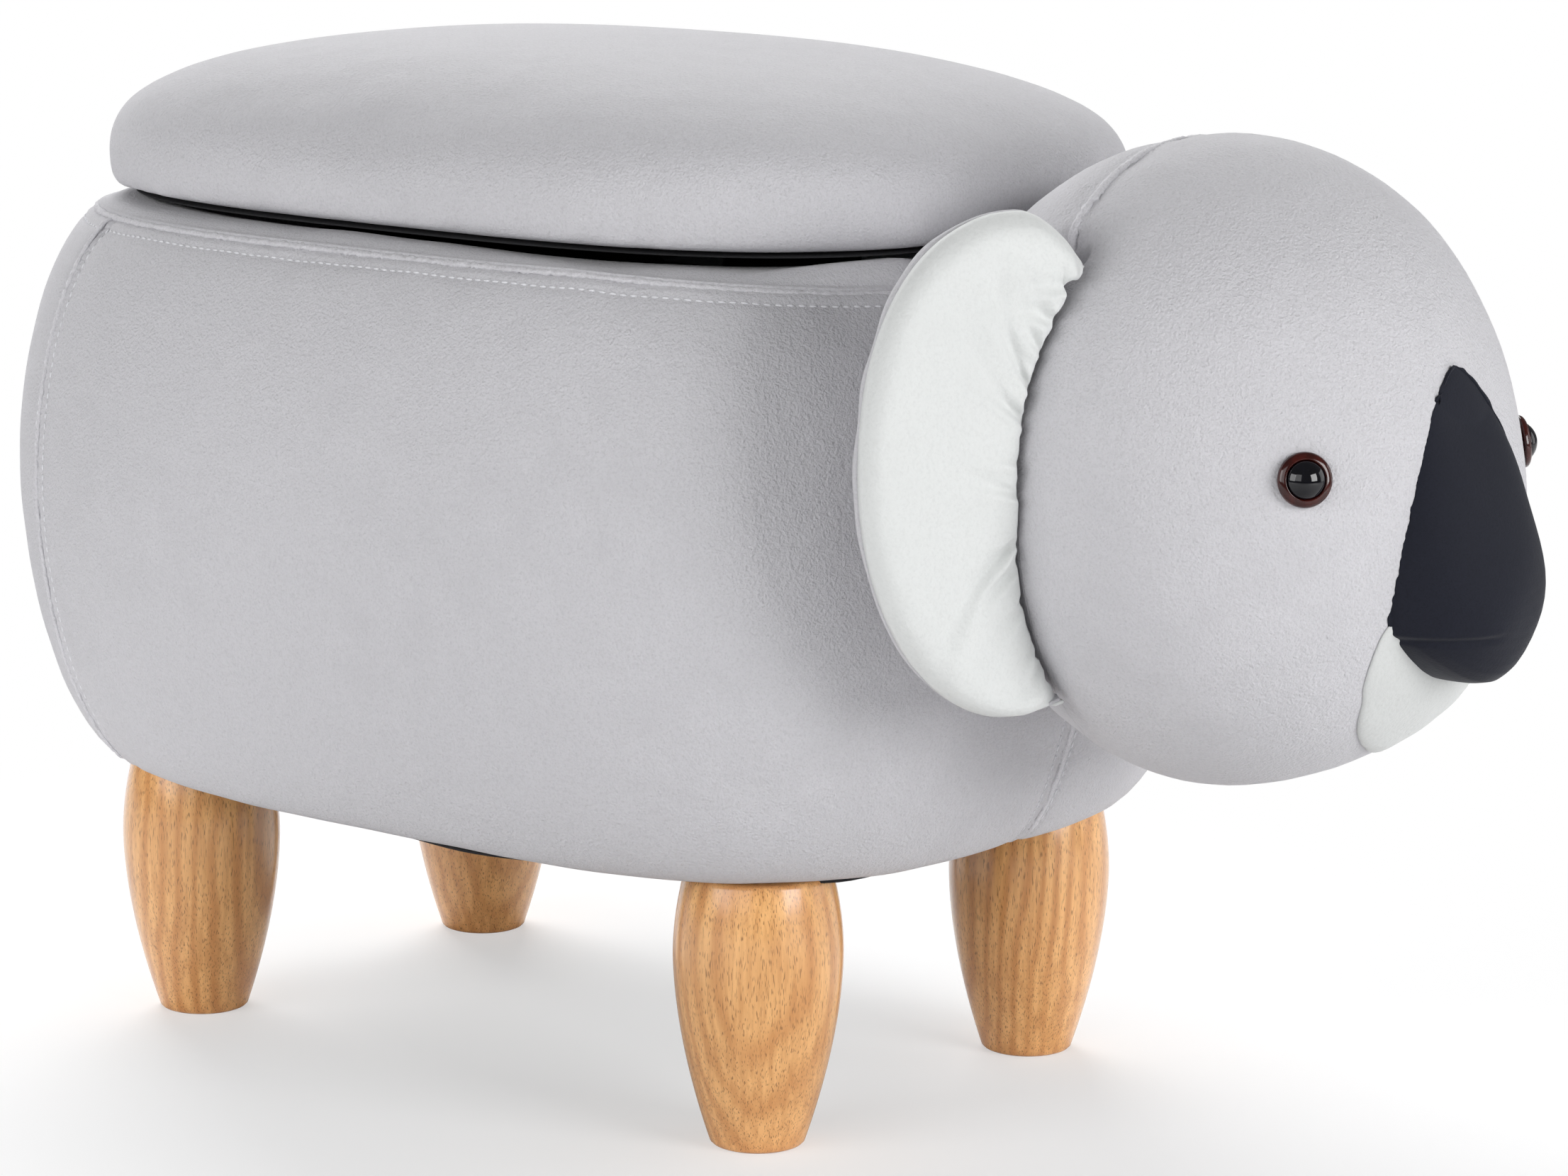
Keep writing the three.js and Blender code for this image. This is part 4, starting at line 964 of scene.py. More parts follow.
class FOOTSTOOL_OT_lid(bpy.types.Operator):
    """Padded lid: velvet cushion, its foam and the lining under its board"""
    bl_idname = "footstool.lid"
    bl_label = "Lid cushion"

    def outline(self, inset, floor):
        """Profile of (radius share, height) from the middle of the lid's underside up."""
        s = sizes()
        half = (LID_HIGH.x - LID_LOW.x) / 2
        waist = LID_LOW.z + s.lid_waist
        crown = LID_HIGH.z - waist - inset
        below = [(1 - (inset + 0.006 * (1 - math.sqrt(1 - t * t))) / half,
                  max(waist - s.lid_waist * t, floor)) for t in np.linspace(1, 0, 14)[1:-1]]
        above = [(math.cos(t) ** (2 / s.lid_power) * (1 - inset / half),
                  waist + crown * math.sin(t) ** (2 / s.lid_power))
                 for t in np.linspace(0, math.pi / 2, 40)]
        return [(0, floor), (0.4, floor), (0.8, floor), (0.93, floor), *below, *above[:-1],
                (0, waist + crown)]

    def shaped(self, at, half):
        """Points of the swollen cushion, fitted to the lid, gathered and with a hanging edge."""
        power = sizes().oval_power
        low, high = at.min(0), at.max(0)
        want_low, want_high = np.array(LID_LOW), np.array(LID_HIGH)
        at = want_low + (at - low) * (want_high - want_low) / (high - low)
        out = at - (BODY_X, 0, 0)
        out[:, 2] = 0
        away = out / np.maximum(lengths_of(out), 1e-9)
        turn = np.arctan2(at[:, 1], at[:, 0] - BODY_X)
        along, across = np.abs(out[:, 0] / half.x), np.abs(out[:, 1] / half.y)
        oval = (along ** power + across ** power) ** (1 / power)
        edge = np.clip(np.hypot(along, across) * 2.2 - 1.5, 0, 1)
        low_part = dip(at[:, 2] - (LID_LOW.z + 0.004), 0.009)
        round_it = np.stack([np.cos(turn) * 0.19, np.sin(turn) * 0.13, at[:, 2] * 0.3], axis=-1)
        at += away * (0.0008 * waves(round_it, 0.026, 12) * low_part * edge)[:, None]
        top = np.clip((at[:, 2] - LID_LOW.z - 0.02) / 0.02, 0, 1)
        at[:, 2] += top * (0.0006 * waves(at, 0.11, 14) - 0.0004)
        drop = np.interp(at[:, 0], *LID_HANG)
        hinge = np.interp(at[:, 1], (0.05, 0.1), (1, 0))
        lowest = np.clip(1 - (at[:, 2] - LID_LOW.z) / 0.012, 0, 1)
        at[:, 2] -= drop * hinge * (edge * eased((oval - 0.955) / 0.035) * lowest)
        return at

    def execute(self, context):
        half = (LID_HIGH - LID_LOW) / 2
        form = ovalled(spun(self.outline(0.0015, LID_LOW.z + 0.0002), 160), half.x, half.y)
        bm = plumped(form, 0.0048, 4.0, 0.004, lambda at: at[:, 2] < LID_LOW.z + 0.004, 6)
        move_to(bm, self.shaped(points_of(bm), half))
        piece("lid_cushion", bm, "lid", "grey_velvet", ("lid_cover",), subdivide=1)

        inner = self.outline(0.009, LID_LOW.z + 0.0145)
        foam = ovalled(spun(inner, 96), half.x, half.y)
        piece("lid_padding", foam, "lid", "padding_foam", ("lid_foam",))

        low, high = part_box("lid_underside")
        size = (high - low) / 2
        under = ovalled(spun([(0, low.z), (0.7, low.z), (0.97, low.z), (0.995, low.z + 0.0002),
                              (1, low.z + 0.0005), (0.995, high.z), (0.7, high.z),
                              (0, high.z)], 120), size.x, size.y)
        piece("lid_lining", under, "lid", "black_cloth", ("lid_underside",))
        leaves = middles("hinge_lid_leaf_rear", "hinge_lid_leaf_front")
        staples("lid_staples", "lid", size * 0.945, low.z - 0.0002, 38, leaves)
        return {"FINISHED"}


# Head

EAR_PITS = (  # place from the seam's middle, depth and width of the dimples at an ear's root
    ((0.0035, 0.0705, 0.3225), 0.008, 0.0054),
    ((0.012, 0.0745, 0.318), 0.0016, 0.009),
)
HEAD_SEAM_ROWS = (0.0006, 0.0013, 0.0022, 0.0033, 0.0048, 0.0065, 0.0085, 0.011)
HEAD_SEAM_GAP = 0.00015
HALVINGS = 40
BEYOND_HEAD = 0.16
HEAD_CLEARANCE = 0.0006
STUFFING_SHARE = 0.35  # how far the covers follow the swollen stuffing, against the plain form
MUZZLE = (  # left half of the patch's edge, as side and height, from its bottom up
    (0.0, 0.154), (0.013, 0.158), (0.0215, 0.1625), (0.028, 0.168), (0.034, 0.178),
    (0.0375, 0.184), (0.039, 0.19), (0.0395, 0.2), (0.0385, 0.205), (0.034, 0.2085),
    (0.02, 0.21), (0.0, 0.2105),
)
MUZZLE_MIDDLE = (0.0, 0.184)


def head_matrix():
    """Places the head's own axes in the frame."""
    return Matrix.Translation(HEAD) @ Matrix.Rotation(-sizes().head_tilt, 4, "Y")


def head_point(side, up, grow=0.0):
    """Point of the head's form in its own axes, from a turn and a share of its height."""
    s = sizes()
    ring = (1 - abs(up) ** s.head_power) ** (1 / s.head_power)
    radius = (s.head_radius + grow) * ring
    return Vector((radius * math.cos(side), radius * math.sin(side), (s.head_height + grow) * up))


def head_profile(grow=0.0, rows=64):
    """Profile of (radius, height) of the head's form in its own axes."""
    s = sizes()
    radius, height, power = s.head_radius + grow, s.head_height + grow, 2 / s.head_power
    inner = [(radius * math.cos(t) ** power,
              height * math.copysign(abs(math.sin(t)) ** power, t))
             for t in np.linspace(-math.pi / 2, math.pi / 2, rows)[1:-1]]
    return [(0, -height), *inner, (0, height)]


def head_level(points, grow=0.0):
    """Under 1 inside the head's form and over 1 outside it, for points in its own axes."""
    s = sizes()
    across = np.hypot(points[:, 0], points[:, 1]) / (s.head_radius + grow)
    up = np.abs(points[:, 2]) / (s.head_height + grow)
    return across ** s.head_power + up ** s.head_power


def head_reach(start, way, low, high, place=None):
    """How far along a way from a start the head's form ends, as two numbers just around it."""
    place = head_matrix().inverted() if place is None else place
    for _ in range(HALVINGS):
        reach = (low + high) / 2
        inside = head_level(carried(start + way * reach[:, None], place)) < 1
        low, high = np.where(inside, reach, low), np.where(inside, high, reach)
    return low, high


def to_world(bm, matrix):
    """Carries a mesh by a matrix."""
    bmesh.ops.transform(bm, matrix=matrix, verts=bm.verts)
    return bm


def body_front(points):
    """Where the front of the body stands at the height and side of each point."""
    s = sizes()
    profile = bulge_profile()[1:]
    offset = np.interp(points[:, 2], profile[:, 1], profile[:, 0], left=-0.05, right=-0.05)
    offset = np.where(points[:, 2] > RIM_TOP + 0.0006, -0.3, offset)
    side = np.clip(np.abs(points[:, 1]) / (s.plan_width + offset), 0, 0.999)
    return BODY_X + (s.plan_length + offset) * (1 - side ** s.oval_power) ** (1 / s.oval_power)


def on_face(y, z):
    """Points on the front of the head's form at sides and heights."""
    start = np.stack([0 * y + HEAD.x, y, z], axis=-1)
    ahead = np.array([[1.0, 0.0, 0.0]])
    reach = head_reach(start, ahead, 0 * y, 0 * y + BEYOND_HEAD)[0]
    return start + ahead * reach[:, None]


class Stuffing:
    """The stuffed form of the head, which its panels lie on."""
    tree = None

    @classmethod
    def form(cls):
        if cls.tree is None:
            bm = to_world(spun(head_profile(-0.0022), 72), head_matrix())
            swollen = plumped(bm, 0.0052, 4.0, 0.004,
                              lambda at: np.abs(at[:, 0] - HEAD_SEAM_X) < 0.004, 2)
            swollen.normal_update()
            cls.tree = BVHTree.FromBMesh(swollen)
            swollen.free()
        return cls.tree

    @classmethod
    def lay(cls, points, lift):
        """Points moved on their lines from the head's middle to stand off the stuffing."""
        tree, forward = cls.form(), head_matrix()
        local = carried(points, forward.inverted())
        way = local / lengths_of(local)
        radius = head_level(way) ** (-1 / sizes().head_power)
        rays = way @ np.array(forward)[:3, :3].T
        out = []
        for ray, spot, rise in zip(rays, carried(way * radius[:, None], forward), lift):
            hit, plain = tree.ray_cast(HEAD, Vector(ray))[0], (Vector(spot) - HEAD).length
            stand = (hit - HEAD).length if hit else plain
            stand = STUFFING_SHARE * stand + (1 - STUFFING_SHARE) * plain
            out.append(HEAD + Vector(ray) * (stand + rise))
        return np.array(out)


class FOOTSTOOL_OT_head(bpy.types.Operator):
    """Stuffed head: face and back panels, muzzle and filling"""
    bl_idname = "footstool.head"
    bl_label = "Head"

    def panel(self, name, side, replaced):
        """Half of the head's cover, before or behind the seam over its crown."""
        bm = to_world(spun(head_profile(), 128), head_matrix())

        def cut(away, towards, clear):
            bmesh.ops.bisect_plane(bm, geom=bm.verts[:] + bm.edges[:] + bm.faces[:],
                                   plane_co=(HEAD_SEAM_X + side * away, 0, 0),
                                   plane_no=(towards, 0, 0), clear_inner=clear, dist=1e-7)

        for away in HEAD_SEAM_ROWS:
            cut(away, 1, False)
        cut(HEAD_SEAM_GAP, side, True)
        at = points_of(bm)
        gap = np.abs(at[:, 0] - HEAD_SEAM_X)
        seam = (0.0008 * dip(gap, 0.009) * (1 + 0.5 * waves(at, 0.018, 21))
                - 0.0005 * dip(gap, 0.0016))
        lift = 0.0005 * waves(at, 0.07, 22) + 0.00015 * waves(at, 0.02, 23) - seam
        for turn in SIDES.values():
            for (x, y, z), depth, width in EAR_PITS:
                spot = np.array([HEAD_SEAM_X + x, turn * y, z])
                lift -= depth * dip(np.linalg.norm(at - spot, axis=1), width)
        at = Stuffing.lay(at, lift)
        if side < 0:
            at[:, 0] = np.maximum(at[:, 0], body_front(at) + HEAD_CLEARANCE)
        move_to(bm, at)
        face_outwards(bm, HEAD)
        return piece(name, bm, "stool", "grey_velvet", replaced, thickness=sizes().cloth)

    def crown_seam(self):
        """Ridge of pile over the crown, from ear to ear."""
        rise = np.linspace(math.radians(38), math.radians(142), 260)
        nowhere = np.zeros_like(rise)
        out = np.stack([nowhere, np.cos(rise), np.sin(rise)], axis=-1)
        start = np.array([HEAD_SEAM_X, 0, HEAD.z])
        reach = head_reach(start, out, nowhere, nowhere + BEYOND_HEAD)[0]
        full = start + out * reach[:, None]
        line = full.copy()
        (x, y, z), depth, width = EAR_PITS[0]
        for turn in SIDES.values():
            root = np.array([HEAD_SEAM_X + x, turn * y, z])
            line -= out * (depth * dip(np.linalg.norm(line - root, axis=1), width))[:, None]
        line = Stuffing.lay(line, -0.0002 - np.linalg.norm(full - line, axis=1))
        welt("crown_seam", "stool", line, out, 0.0032, 0.001, 63)

    def muzzle(self):
        """White patch that lies on the face under the nose."""
        half, middle = np.array(MUZZLE), np.array(MUZZLE_MIDDLE)
        outline = np.concatenate([half, (half * (-1, 1))[-2:0:-1]])
        around = np.arctan2(outline[:, 1] - middle[1], outline[:, 0] - middle[0])
        reach = np.linalg.norm(outline - middle, axis=1)
        order = np.argsort(around)
        rings = (0, 0.2, 0.4, 0.58, 0.72, 0.82, 0.89, 0.935, 0.965, 0.985, 1.0)
        bm = spun([(ring, 0) for ring in rings], 96)
        at = points_of(bm)
        share_out = np.hypot(at[:, 0], at[:, 1])
        turn = np.arctan2(at[:, 1], at[:, 0])
        edge = np.interp(turn, around[order], reach[order], period=TURN)
        y = middle[0] + share_out * edge * np.cos(turn)
        z = middle[1] + share_out * edge * np.sin(turn)
        spots = on_face(y, z)
        roll = np.sqrt(np.clip(1 - share_out ** 10, 0, 1))
        lift = 0.0002 + 0.0016 * roll + 0.0004 * waves(spots, 0.02, 31) * roll
        move_to(bm, Stuffing.lay(spots, lift))
        face_outwards(bm, HEAD)
        # Its plush is the white plush made darker: painted shade under the nose.
        piece("muzzle_plush_painted_shade", bm, "stool", "white_plush", ("muzzle_patch",),
              finish("muzzle_plush_painted_shade"), thickness=0.0008)

    def execute(self, context):
        self.panel("face_velvet", 1, ("face_panel",))
        self.panel("head_back_velvet", -1, ("head_back_panel",))
        self.muzzle()
        self.crown_seam()
        filling = to_world(spun(head_profile(-0.0095, 40), 64), head_matrix())
        at = points_of(filling)
        at[:, 0] = np.maximum(at[:, 0], body_front(at) + 0.0035)
        move_to(filling, at)
        piece("head_stuffing", filling, "stool", "fibre", ("head_filling",))
        return {"FINISHED"}


EAR_MARKS = 600
EAR_CREASES = (  # place on the root as a share, slope, depth in mm and reach in mm
    (0.07, 0.9, 1.1, 30), (0.15, 0.5, 1.3, 26), (0.22, -0.15, 1.0, 18), (0.3, -0.5, 1.5, 30),
    (0.37, -0.35, 1.2, 22), (0.45, 0.05, 0.9, 14), (0.52, -0.15, 1.3, 24), (0.62, 0.7, 2.0, 34),
    (0.68, 0.45, 1.3, 20), (0.77, 0.3, 0.9, 14), (0.86, 0.5, 0.9, 12),
)
# Distances from the rim and how far each half stands off its seam there, in mm
EAR_FRONT = ((0, 0.6, 1.6, 3, 5, 7, 9, 12, 16, 22, 30, 60),
             (0.2, 2.5, 4.6, 6.4, 8.2, 9.1, 9.6, 9.7, 9.2, 8.3, 7.2, 6.0))
EAR_BACK = ((0, 0.4, 1.2, 3, 6, 12, 25, 60), (0.2, 1.8, 3.6, 5.6, 7.4, 9.4, 10.6, 11))
EAR_CLOTH = 0.0012
EAR_POWERS = (2.2, 1.9)  # of the ear's oval, above and below its middle
EAR_NEAR = (0.707, 1.3)  # width of the oval's half beside the head, as a share of the other's
EAR_ROOTS = (0.0028, -0.0015)  # where the front and back halves are sewn on, from their seam
EAR_SCALLOPS = ((0.0068, 0.5), (0.0097, 0.8), (0.0142, 0.8), (0.027, 0.6))  # length, strength


class FOOTSTOOL_OT_ears(bpy.types.Operator):
    """Ears with a plush front, a gathered root and a velvet back"""
    bl_idname = "footstool.ears"
    bl_label = "Ears"

    def matrix(self, side):
        """Places an ear's own axes in the frame: x to its front, z up."""
        s = sizes()
        root = math.sqrt(s.head_radius ** 2 - (HEAD.x - HEAD_SEAM_X) ** 2)
        return (Matrix.Translation((HEAD_SEAM_X, side * root, HEAD.z + 0.0067))
                @ Matrix.Rotation(side * s.ear_lean, 4, "Z"))

    def head_edge(self, side, heights, depth):
        """How far out from the ear's middle the head stands, at each height of the ear."""
        place = head_matrix().inverted() @ self.matrix(side)
        nowhere = 0 * heights
        start = np.stack([depth + nowhere, nowhere, heights], axis=-1)
        outwards = np.array([[0.0, side, 0.0]])
        return head_reach(start, outwards, nowhere - 0.09, nowhere + 0.05, place)[1]

    def swept(self, heights):
        """How far back the ear is sewn towards its lower corner."""
        return -0.0105 * np.clip((-heights - 0.012) / 0.062, 0, 1) ** 1.2

    def root_line(self, side, heights, depth):
        """How far out the root is sewn on the head, with a flap at its top corner."""
        flap = (0.004 * dip(heights - 0.0585, 0.0032)
                - 0.0105 * np.clip((heights - 0.0592) / 0.0035, 0, 1))
        return self.head_edge(side, heights, depth + self.swept(heights)) + 0.0004 + flap

    def halves(self, side, depth):
        """Rim and root of the ear as matched points (out, up) from its top to its lower end."""
        s = sizes()
        turns = np.linspace(0.999 * math.pi, -0.999 * math.pi, 2400)
        aside, rise, upper = np.cos(turns), np.sin(turns), turns > 0
        near = aside < 0
        power = 2 / np.where(upper, *EAR_POWERS)
        bend = np.where(near & upper, 1.18, power)
        out = s.ear_width * np.sign(aside) * np.abs(aside) ** bend
        out *= np.where(near, np.where(upper, *EAR_NEAR), 1)
        up = s.ear_height * np.sign(rise) * np.abs(rise) ** power
        clear = out > self.root_line(side, up, depth)
        first, last = np.flatnonzero(clear)[[0, -1]]
        rim = np.stack([out, up], axis=-1)[first:last + 1]
        heights = np.linspace(rim[0, 1], rim[-1, 1], EAR_MARKS)
        root = np.stack([self.root_line(side, heights, depth), heights], axis=-1)
        root[0], root[-1] = rim[0], rim[-1]
        return self.evened(rim), self.evened(root)

    def evened(self, line):
        """The same line with its points at even steps."""
        steps = arc_lengths(line)
        return sampled(np.linspace(0, steps[-1], EAR_MARKS), steps, line)

    def creases(self, at_root, from_root):
        """Soft folds that run out from the gathers."""
        total = np.zeros(len(at_root))
        for place, slope, depth, reach in EAR_CREASES:
            away = at_root - place * at_root.max() - slope * from_root
            width = 0.0016 + 0.1 * from_root
            fade = depth / 1000 * np.exp(-from_root * 1000 / reach)
            total += fade * (0.7 * dip(away - 1.3 * width, width) - dip(away, width))
        return total

    def skin(self, side, front):
        """One half of the ear, from its root on the head out to its rim."""
        base = EAR_ROOTS[0] if front else EAR_ROOTS[1]
        rim, root = self.halves(side, base)
        columns, rows = 260, 46
        bm, c, r = grid(columns, rows)
        marks = np.arange(EAR_MARKS)
        mark = c / columns * (EAR_MARKS - 1)
        t = r / rows
        t = 0.5 * t + 0.5 * (3 * t ** 2 - 2 * t ** 3)
        at_root = np.interp(mark, marks, arc_lengths(root))
        rim, root = sampled(mark, marks, rim), sampled(mark, marks, root)
        width = np.linalg.norm(rim - root, axis=1)
        from_root, from_rim = t * width, (1 - t) * width
        flat = root * (1 - t)[:, None] + rim * t[:, None]
        rng = np.random.default_rng(41)
        scallop = np.zeros(len(mark))
        for size, amount in EAR_SCALLOPS:
            first, second = rng.uniform(0, TURN), rng.uniform(0, TURN)
            drift = 1.2 * np.sin(at_root * TURN / (size * 2.7) + second)
            scallop += amount * np.sin(at_root * TURN / size + first + drift)
        ends = np.clip(width / 0.014, 0, 1)
        near = 0.0009 * (0.4 + 0.5 * scallop).clip(0, 2) * dip(from_root, 0.0045) * ends
        reaches, depths = (np.array(row) / 1000 for row in (EAR_FRONT if front else EAR_BACK))
        shape = np.interp(from_rim, reaches, depths)
        if front:
            lower = np.clip((0.02 - flat[:, 1]) / 0.06, 0, 1)
            turned_in = 0.0034 + 0.0055 * lower
            fold = np.sqrt(np.clip(1 - (1 - np.clip(from_root / turned_in, 0, 1)) ** 2, 0, 1))
            shape *= 1 - 0.35 * np.exp(-from_root / 0.014) * lower
            depth = ends * (base + (shape - base) * fold)
            depth += 0.0009 * scallop * np.exp(-from_root / 0.009) * fold * ends
            spot = np.stack([flat[:, 0], flat[:, 1], depth], axis=-1)
            depth += (1.9 * self.creases(at_root, from_root) * fold
                      + 0.0008 * waves(spot, 0.045, 44)) * ends
            push = near
        else:
            fold = np.sqrt(np.clip(1 - (1 - np.clip(from_root / 0.005, 0, 1)) ** 2, 0, 1))
            depth = -ends * (shape * fold + (1 - fold) * 0.0015
                             + 0.0005 * scallop * np.exp(-from_root / 0.012) * fold)
            bump = waves(np.stack([rim[:, 0], rim[:, 1], 0 * mark], axis=-1), 0.02, 46)
            beside_rim = np.sin(np.clip(from_rim / 0.009, 0, 1) * math.pi) ** 0.7
            push = near + (0.0021 + 0.0009 * bump) * beside_rim * ends
        away = rim - root
        away /= np.maximum(lengths_of(away), 1e-6)
        flat = flat + away * push[:, None]
        depth = depth + self.swept(flat[:, 1]) * (1 - 0.5 * t)
        local = np.stack([depth, side * flat[:, 0], flat[:, 1]], axis=-1)
        local = self.clear_of_head(side, local)
        move_to(bm, local)
        bmesh.ops.remove_doubles(bm, verts=bm.verts, dist=2e-6)
        to_world(bm, self.matrix(side))
        middle = self.matrix(side) @ Vector((-0.03 if front else 0.03, side * 0.02, 0))
        face_outwards(bm, middle)
        return bm

    def clear_of_head(self, side, local):
        """Slides points that fall inside the head out to its cover."""
        place = head_matrix().inverted() @ self.matrix(side)
        at = carried(local, place)
        level = head_level(at, HEAD_CLEARANCE) ** (1 / sizes().head_power)
        return carried(at / np.minimum(level, 1)[:, None], place.inverted())

    def execute(self, context):
        for name, side in SIDES.items():
            piece(f"ear_plush_{name}", self.skin(side, True), "stool", "white_plush",
                  (f"ear_front_{name}",), thickness=EAR_CLOTH)
            piece(f"ear_velvet_{name}", self.skin(side, False), "stool", "grey_velvet",
                  (f"ear_back_{name}",), thickness=EAR_CLOTH)
        return {"FINISHED"}


# Share of the nose's height, and its half width or how far its front stands back, as a share
NOSE_WIDTHS = ((0, 0.94), (0.02, 0.97), (0.05, 0.99), (0.12, 1.01), (0.33, 0.99), (0.57, 0.885),
               (0.7, 0.745), (0.84, 0.52), (0.94, 0.28), (0.985, 0.13), (1, 0.03))
NOSE_REACHES = ((0, -0.62), (0.02, -0.42), (0.08, -0.17), (0.24, -0.01), (0.42, -0.13),
                (0.65, -0.46), (0.85, -0.79), (0.96, -0.93), (1, -0.98))
NOSE_CREASE = (0.2028, 0.2008)  # heights of the ridge and of the groove under it


class FOOTSTOOL_OT_nose(bpy.types.Operator):
    """Stuffed nose of dark cloth"""
    bl_idname = "footstool.nose"
    bl_label = "Nose"

    def execute(self, context):
        low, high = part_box("nose")
        tip, depth, half = high.x - 0.0018, 0.0305, 0.038
        columns, rows = 96, 170
        bm, c, r = grid(columns, rows)
        turn = (c / columns - 0.5) * math.pi
        h = (1 - np.cos(math.pi * r / rows)) / 2
        widths, reaches = softened(NOSE_WIDTHS, 2), softened(NOSE_REACHES, 2)
        middle = np.cos(turn).clip(0, 1)
        y = half * np.interp(h, widths[:, 0], widths[:, 1]) * np.sin(turn)
        z = low.z + (high.z + 0.0012 - low.z) * h + 0.0206 * np.abs(y / half) ** 2 * (1 - h) ** 3
        z -= 0.0024 * dip(h - 0.03, 0.06) * middle ** 2 * np.sqrt(np.clip(h / 0.02, 0, 1))
        y = np.where(y > 0, y * (1 - 0.14 * h), y) - 0.003 * h ** 2
        face = on_face(y, z)[:, 0] - 0.0012
        front = tip + depth * np.interp(h, reaches[:, 0], reaches[:, 1])
        stand = np.maximum(front - face, 0.0004) * middle ** 1.4
        stand *= np.sqrt(np.clip(h / 0.03, 0, 1))
        spot = np.stack([face + stand, y, z], axis=-1)
        out = np.stack([np.cos(turn), np.sin(turn), 0 * z], axis=-1)
        lift = 0.0005 * waves(spot, 0.03, 51) * middle ** 0.5
        at_edge = 1 - np.abs(np.sin(turn))
        lift += 0.0004 * waves(spot, 0.0032, 52) * dip(at_edge, 0.012)
        crease = 0.0007 * dip(z - NOSE_CREASE[0], 0.0009) - 0.0009 * dip(z - NOSE_CREASE[1], 0.001)
        lift += crease * np.interp(y, [-0.038, -0.034, -0.016, -0.008], [0, 1, 1, 0])
        move_to(bm, spot + out * lift[:, None])
        bmesh.ops.remove_doubles(bm, verts=bm.verts, dist=2e-6)
        face_outwards(bm, (HEAD.x + 0.085, 0, HEAD.z - 0.01))
        piece("nose_cover", bm, "stool", "nose_cloth", ("nose",), thickness=0.0011)
        return {"FINISHED"}


EYE_TURN = math.radians(42.6)
EYE_DROP = 0.0124
LEFT_EYE_SHIFT = (0.015, -0.032)  # further round in radians, and down as a share of the height
PUPIL_CURVE = 0.0074


class FOOTSTOOL_OT_eyes(bpy.types.Operator):
    """Glossy eyes with a brown ring"""
    bl_idname = "footstool.eyes"
    bl_label = "Eyes"

    def matrix(self, side):
        """Stands square on the face at the eye; the left one sits a little lower."""
        turn, up, step = side * EYE_TURN, -EYE_DROP / sizes().head_height, 0.01
        if side > 0:
            turn, up = turn + LEFT_EYE_SHIFT[0], up + LEFT_EYE_SHIFT[1]
        at = head_point(turn, up)
        across = head_point(turn + step, up) - at
        rise = head_point(turn, up + step) - at
        normal = across.cross(rise).normalized()
        turned = Vector((0, 0, 1)).rotation_difference(normal).to_matrix().to_4x4()
        return head_matrix() @ Matrix.Translation(at) @ turned

    def execute(self, context):
        s = sizes()
        full, inner, curve = s.eye_radius, s.pupil_radius, PUPIL_CURVE
        foot = math.sqrt(curve ** 2 - inner ** 2)

        def ring_top(radius):
            across = (radius - inner + 0.0006) / (full - inner + 0.0006)
            return 0.0006 + 0.0021 * math.sqrt(max(0.0, 1 - across ** 2))

        for name, side in SIDES.items():
            ring = [(0, 0.0006), (inner - 0.0003, 0.0006), (inner - 0.0001, 0.0022)]
            ring += [(r, ring_top(r)) for r in np.linspace(inner + 0.0002, full, 12)]
            ring += [(full, 0.0002), (0.0024, 0.0002), (0.0024, -0.014), (0, -0.014)]
            pupil = [(0, 0.0008), (inner - 0.0004, 0.0008), (inner - 0.0003, 0.0018)]
            pupil += [(r, 0.0022 + math.sqrt(curve ** 2 - r ** 2) - foot)
                      for r in np.linspace(inner - 0.0004, 0, 16)]
            parts = (("ring", "iris_brown", ring), ("pupil", "pupil_black", pupil))
            for part, slot, profile in parts:
                bm = to_world(spun(profile, 64), self.matrix(side))
                piece(f"eye_{part}_gloss_{name}", bm, "stool", slot, (f"eye_{part}_{name}",))
        return {"FINISHED"}


class FOOTSTOOL_OT_fittings(bpy.types.Operator):
    """Finishes of the boards, hinges, screws, bolts and washers"""
    bl_idname = "footstool.fittings"
    bl_label = "Boards and fittings"

    def execute(self, context):
        slots = {part["node"]: part["material_slot"] for part in frame["record"]["subparts"]}
        for name, obj in frame["nodes"].items():
            if obj.material_slots:
                obj.material_slots[0].material = finish(slots[name])
            else:
                obj.data.materials.append(finish(slots[name]))
        return {"FINISHED"}


CAMERA_AT = (1.1133, -1.3738, 0.5169)
SENSOR_MM, LENS_MM = 36, 115.14
LAMPS_AT = Vector((0, 0, 0.2))
LAMP_DISTANCE = 1.9
LAMPS = (  # name, way to the right, up and back as the camera sees it, size and watts
    ("softbox_left", (-0.78, 0.18, 0.60), 1.0, 13.0),
    ("softbox_front", (-0.40, 0.15, 0.90), 1.0, 6.0),
    ("softbox_right", (0.72, 0.14, 0.66), 0.9, 22.0),
    ("softbox_side", (0.97, 0.20, -0.10), 1.0, 4.5),
    ("softbox_back", (-0.20, 0.75, -0.65), 1.4, 44.0),
)
FLOOR_RADIUS = 14


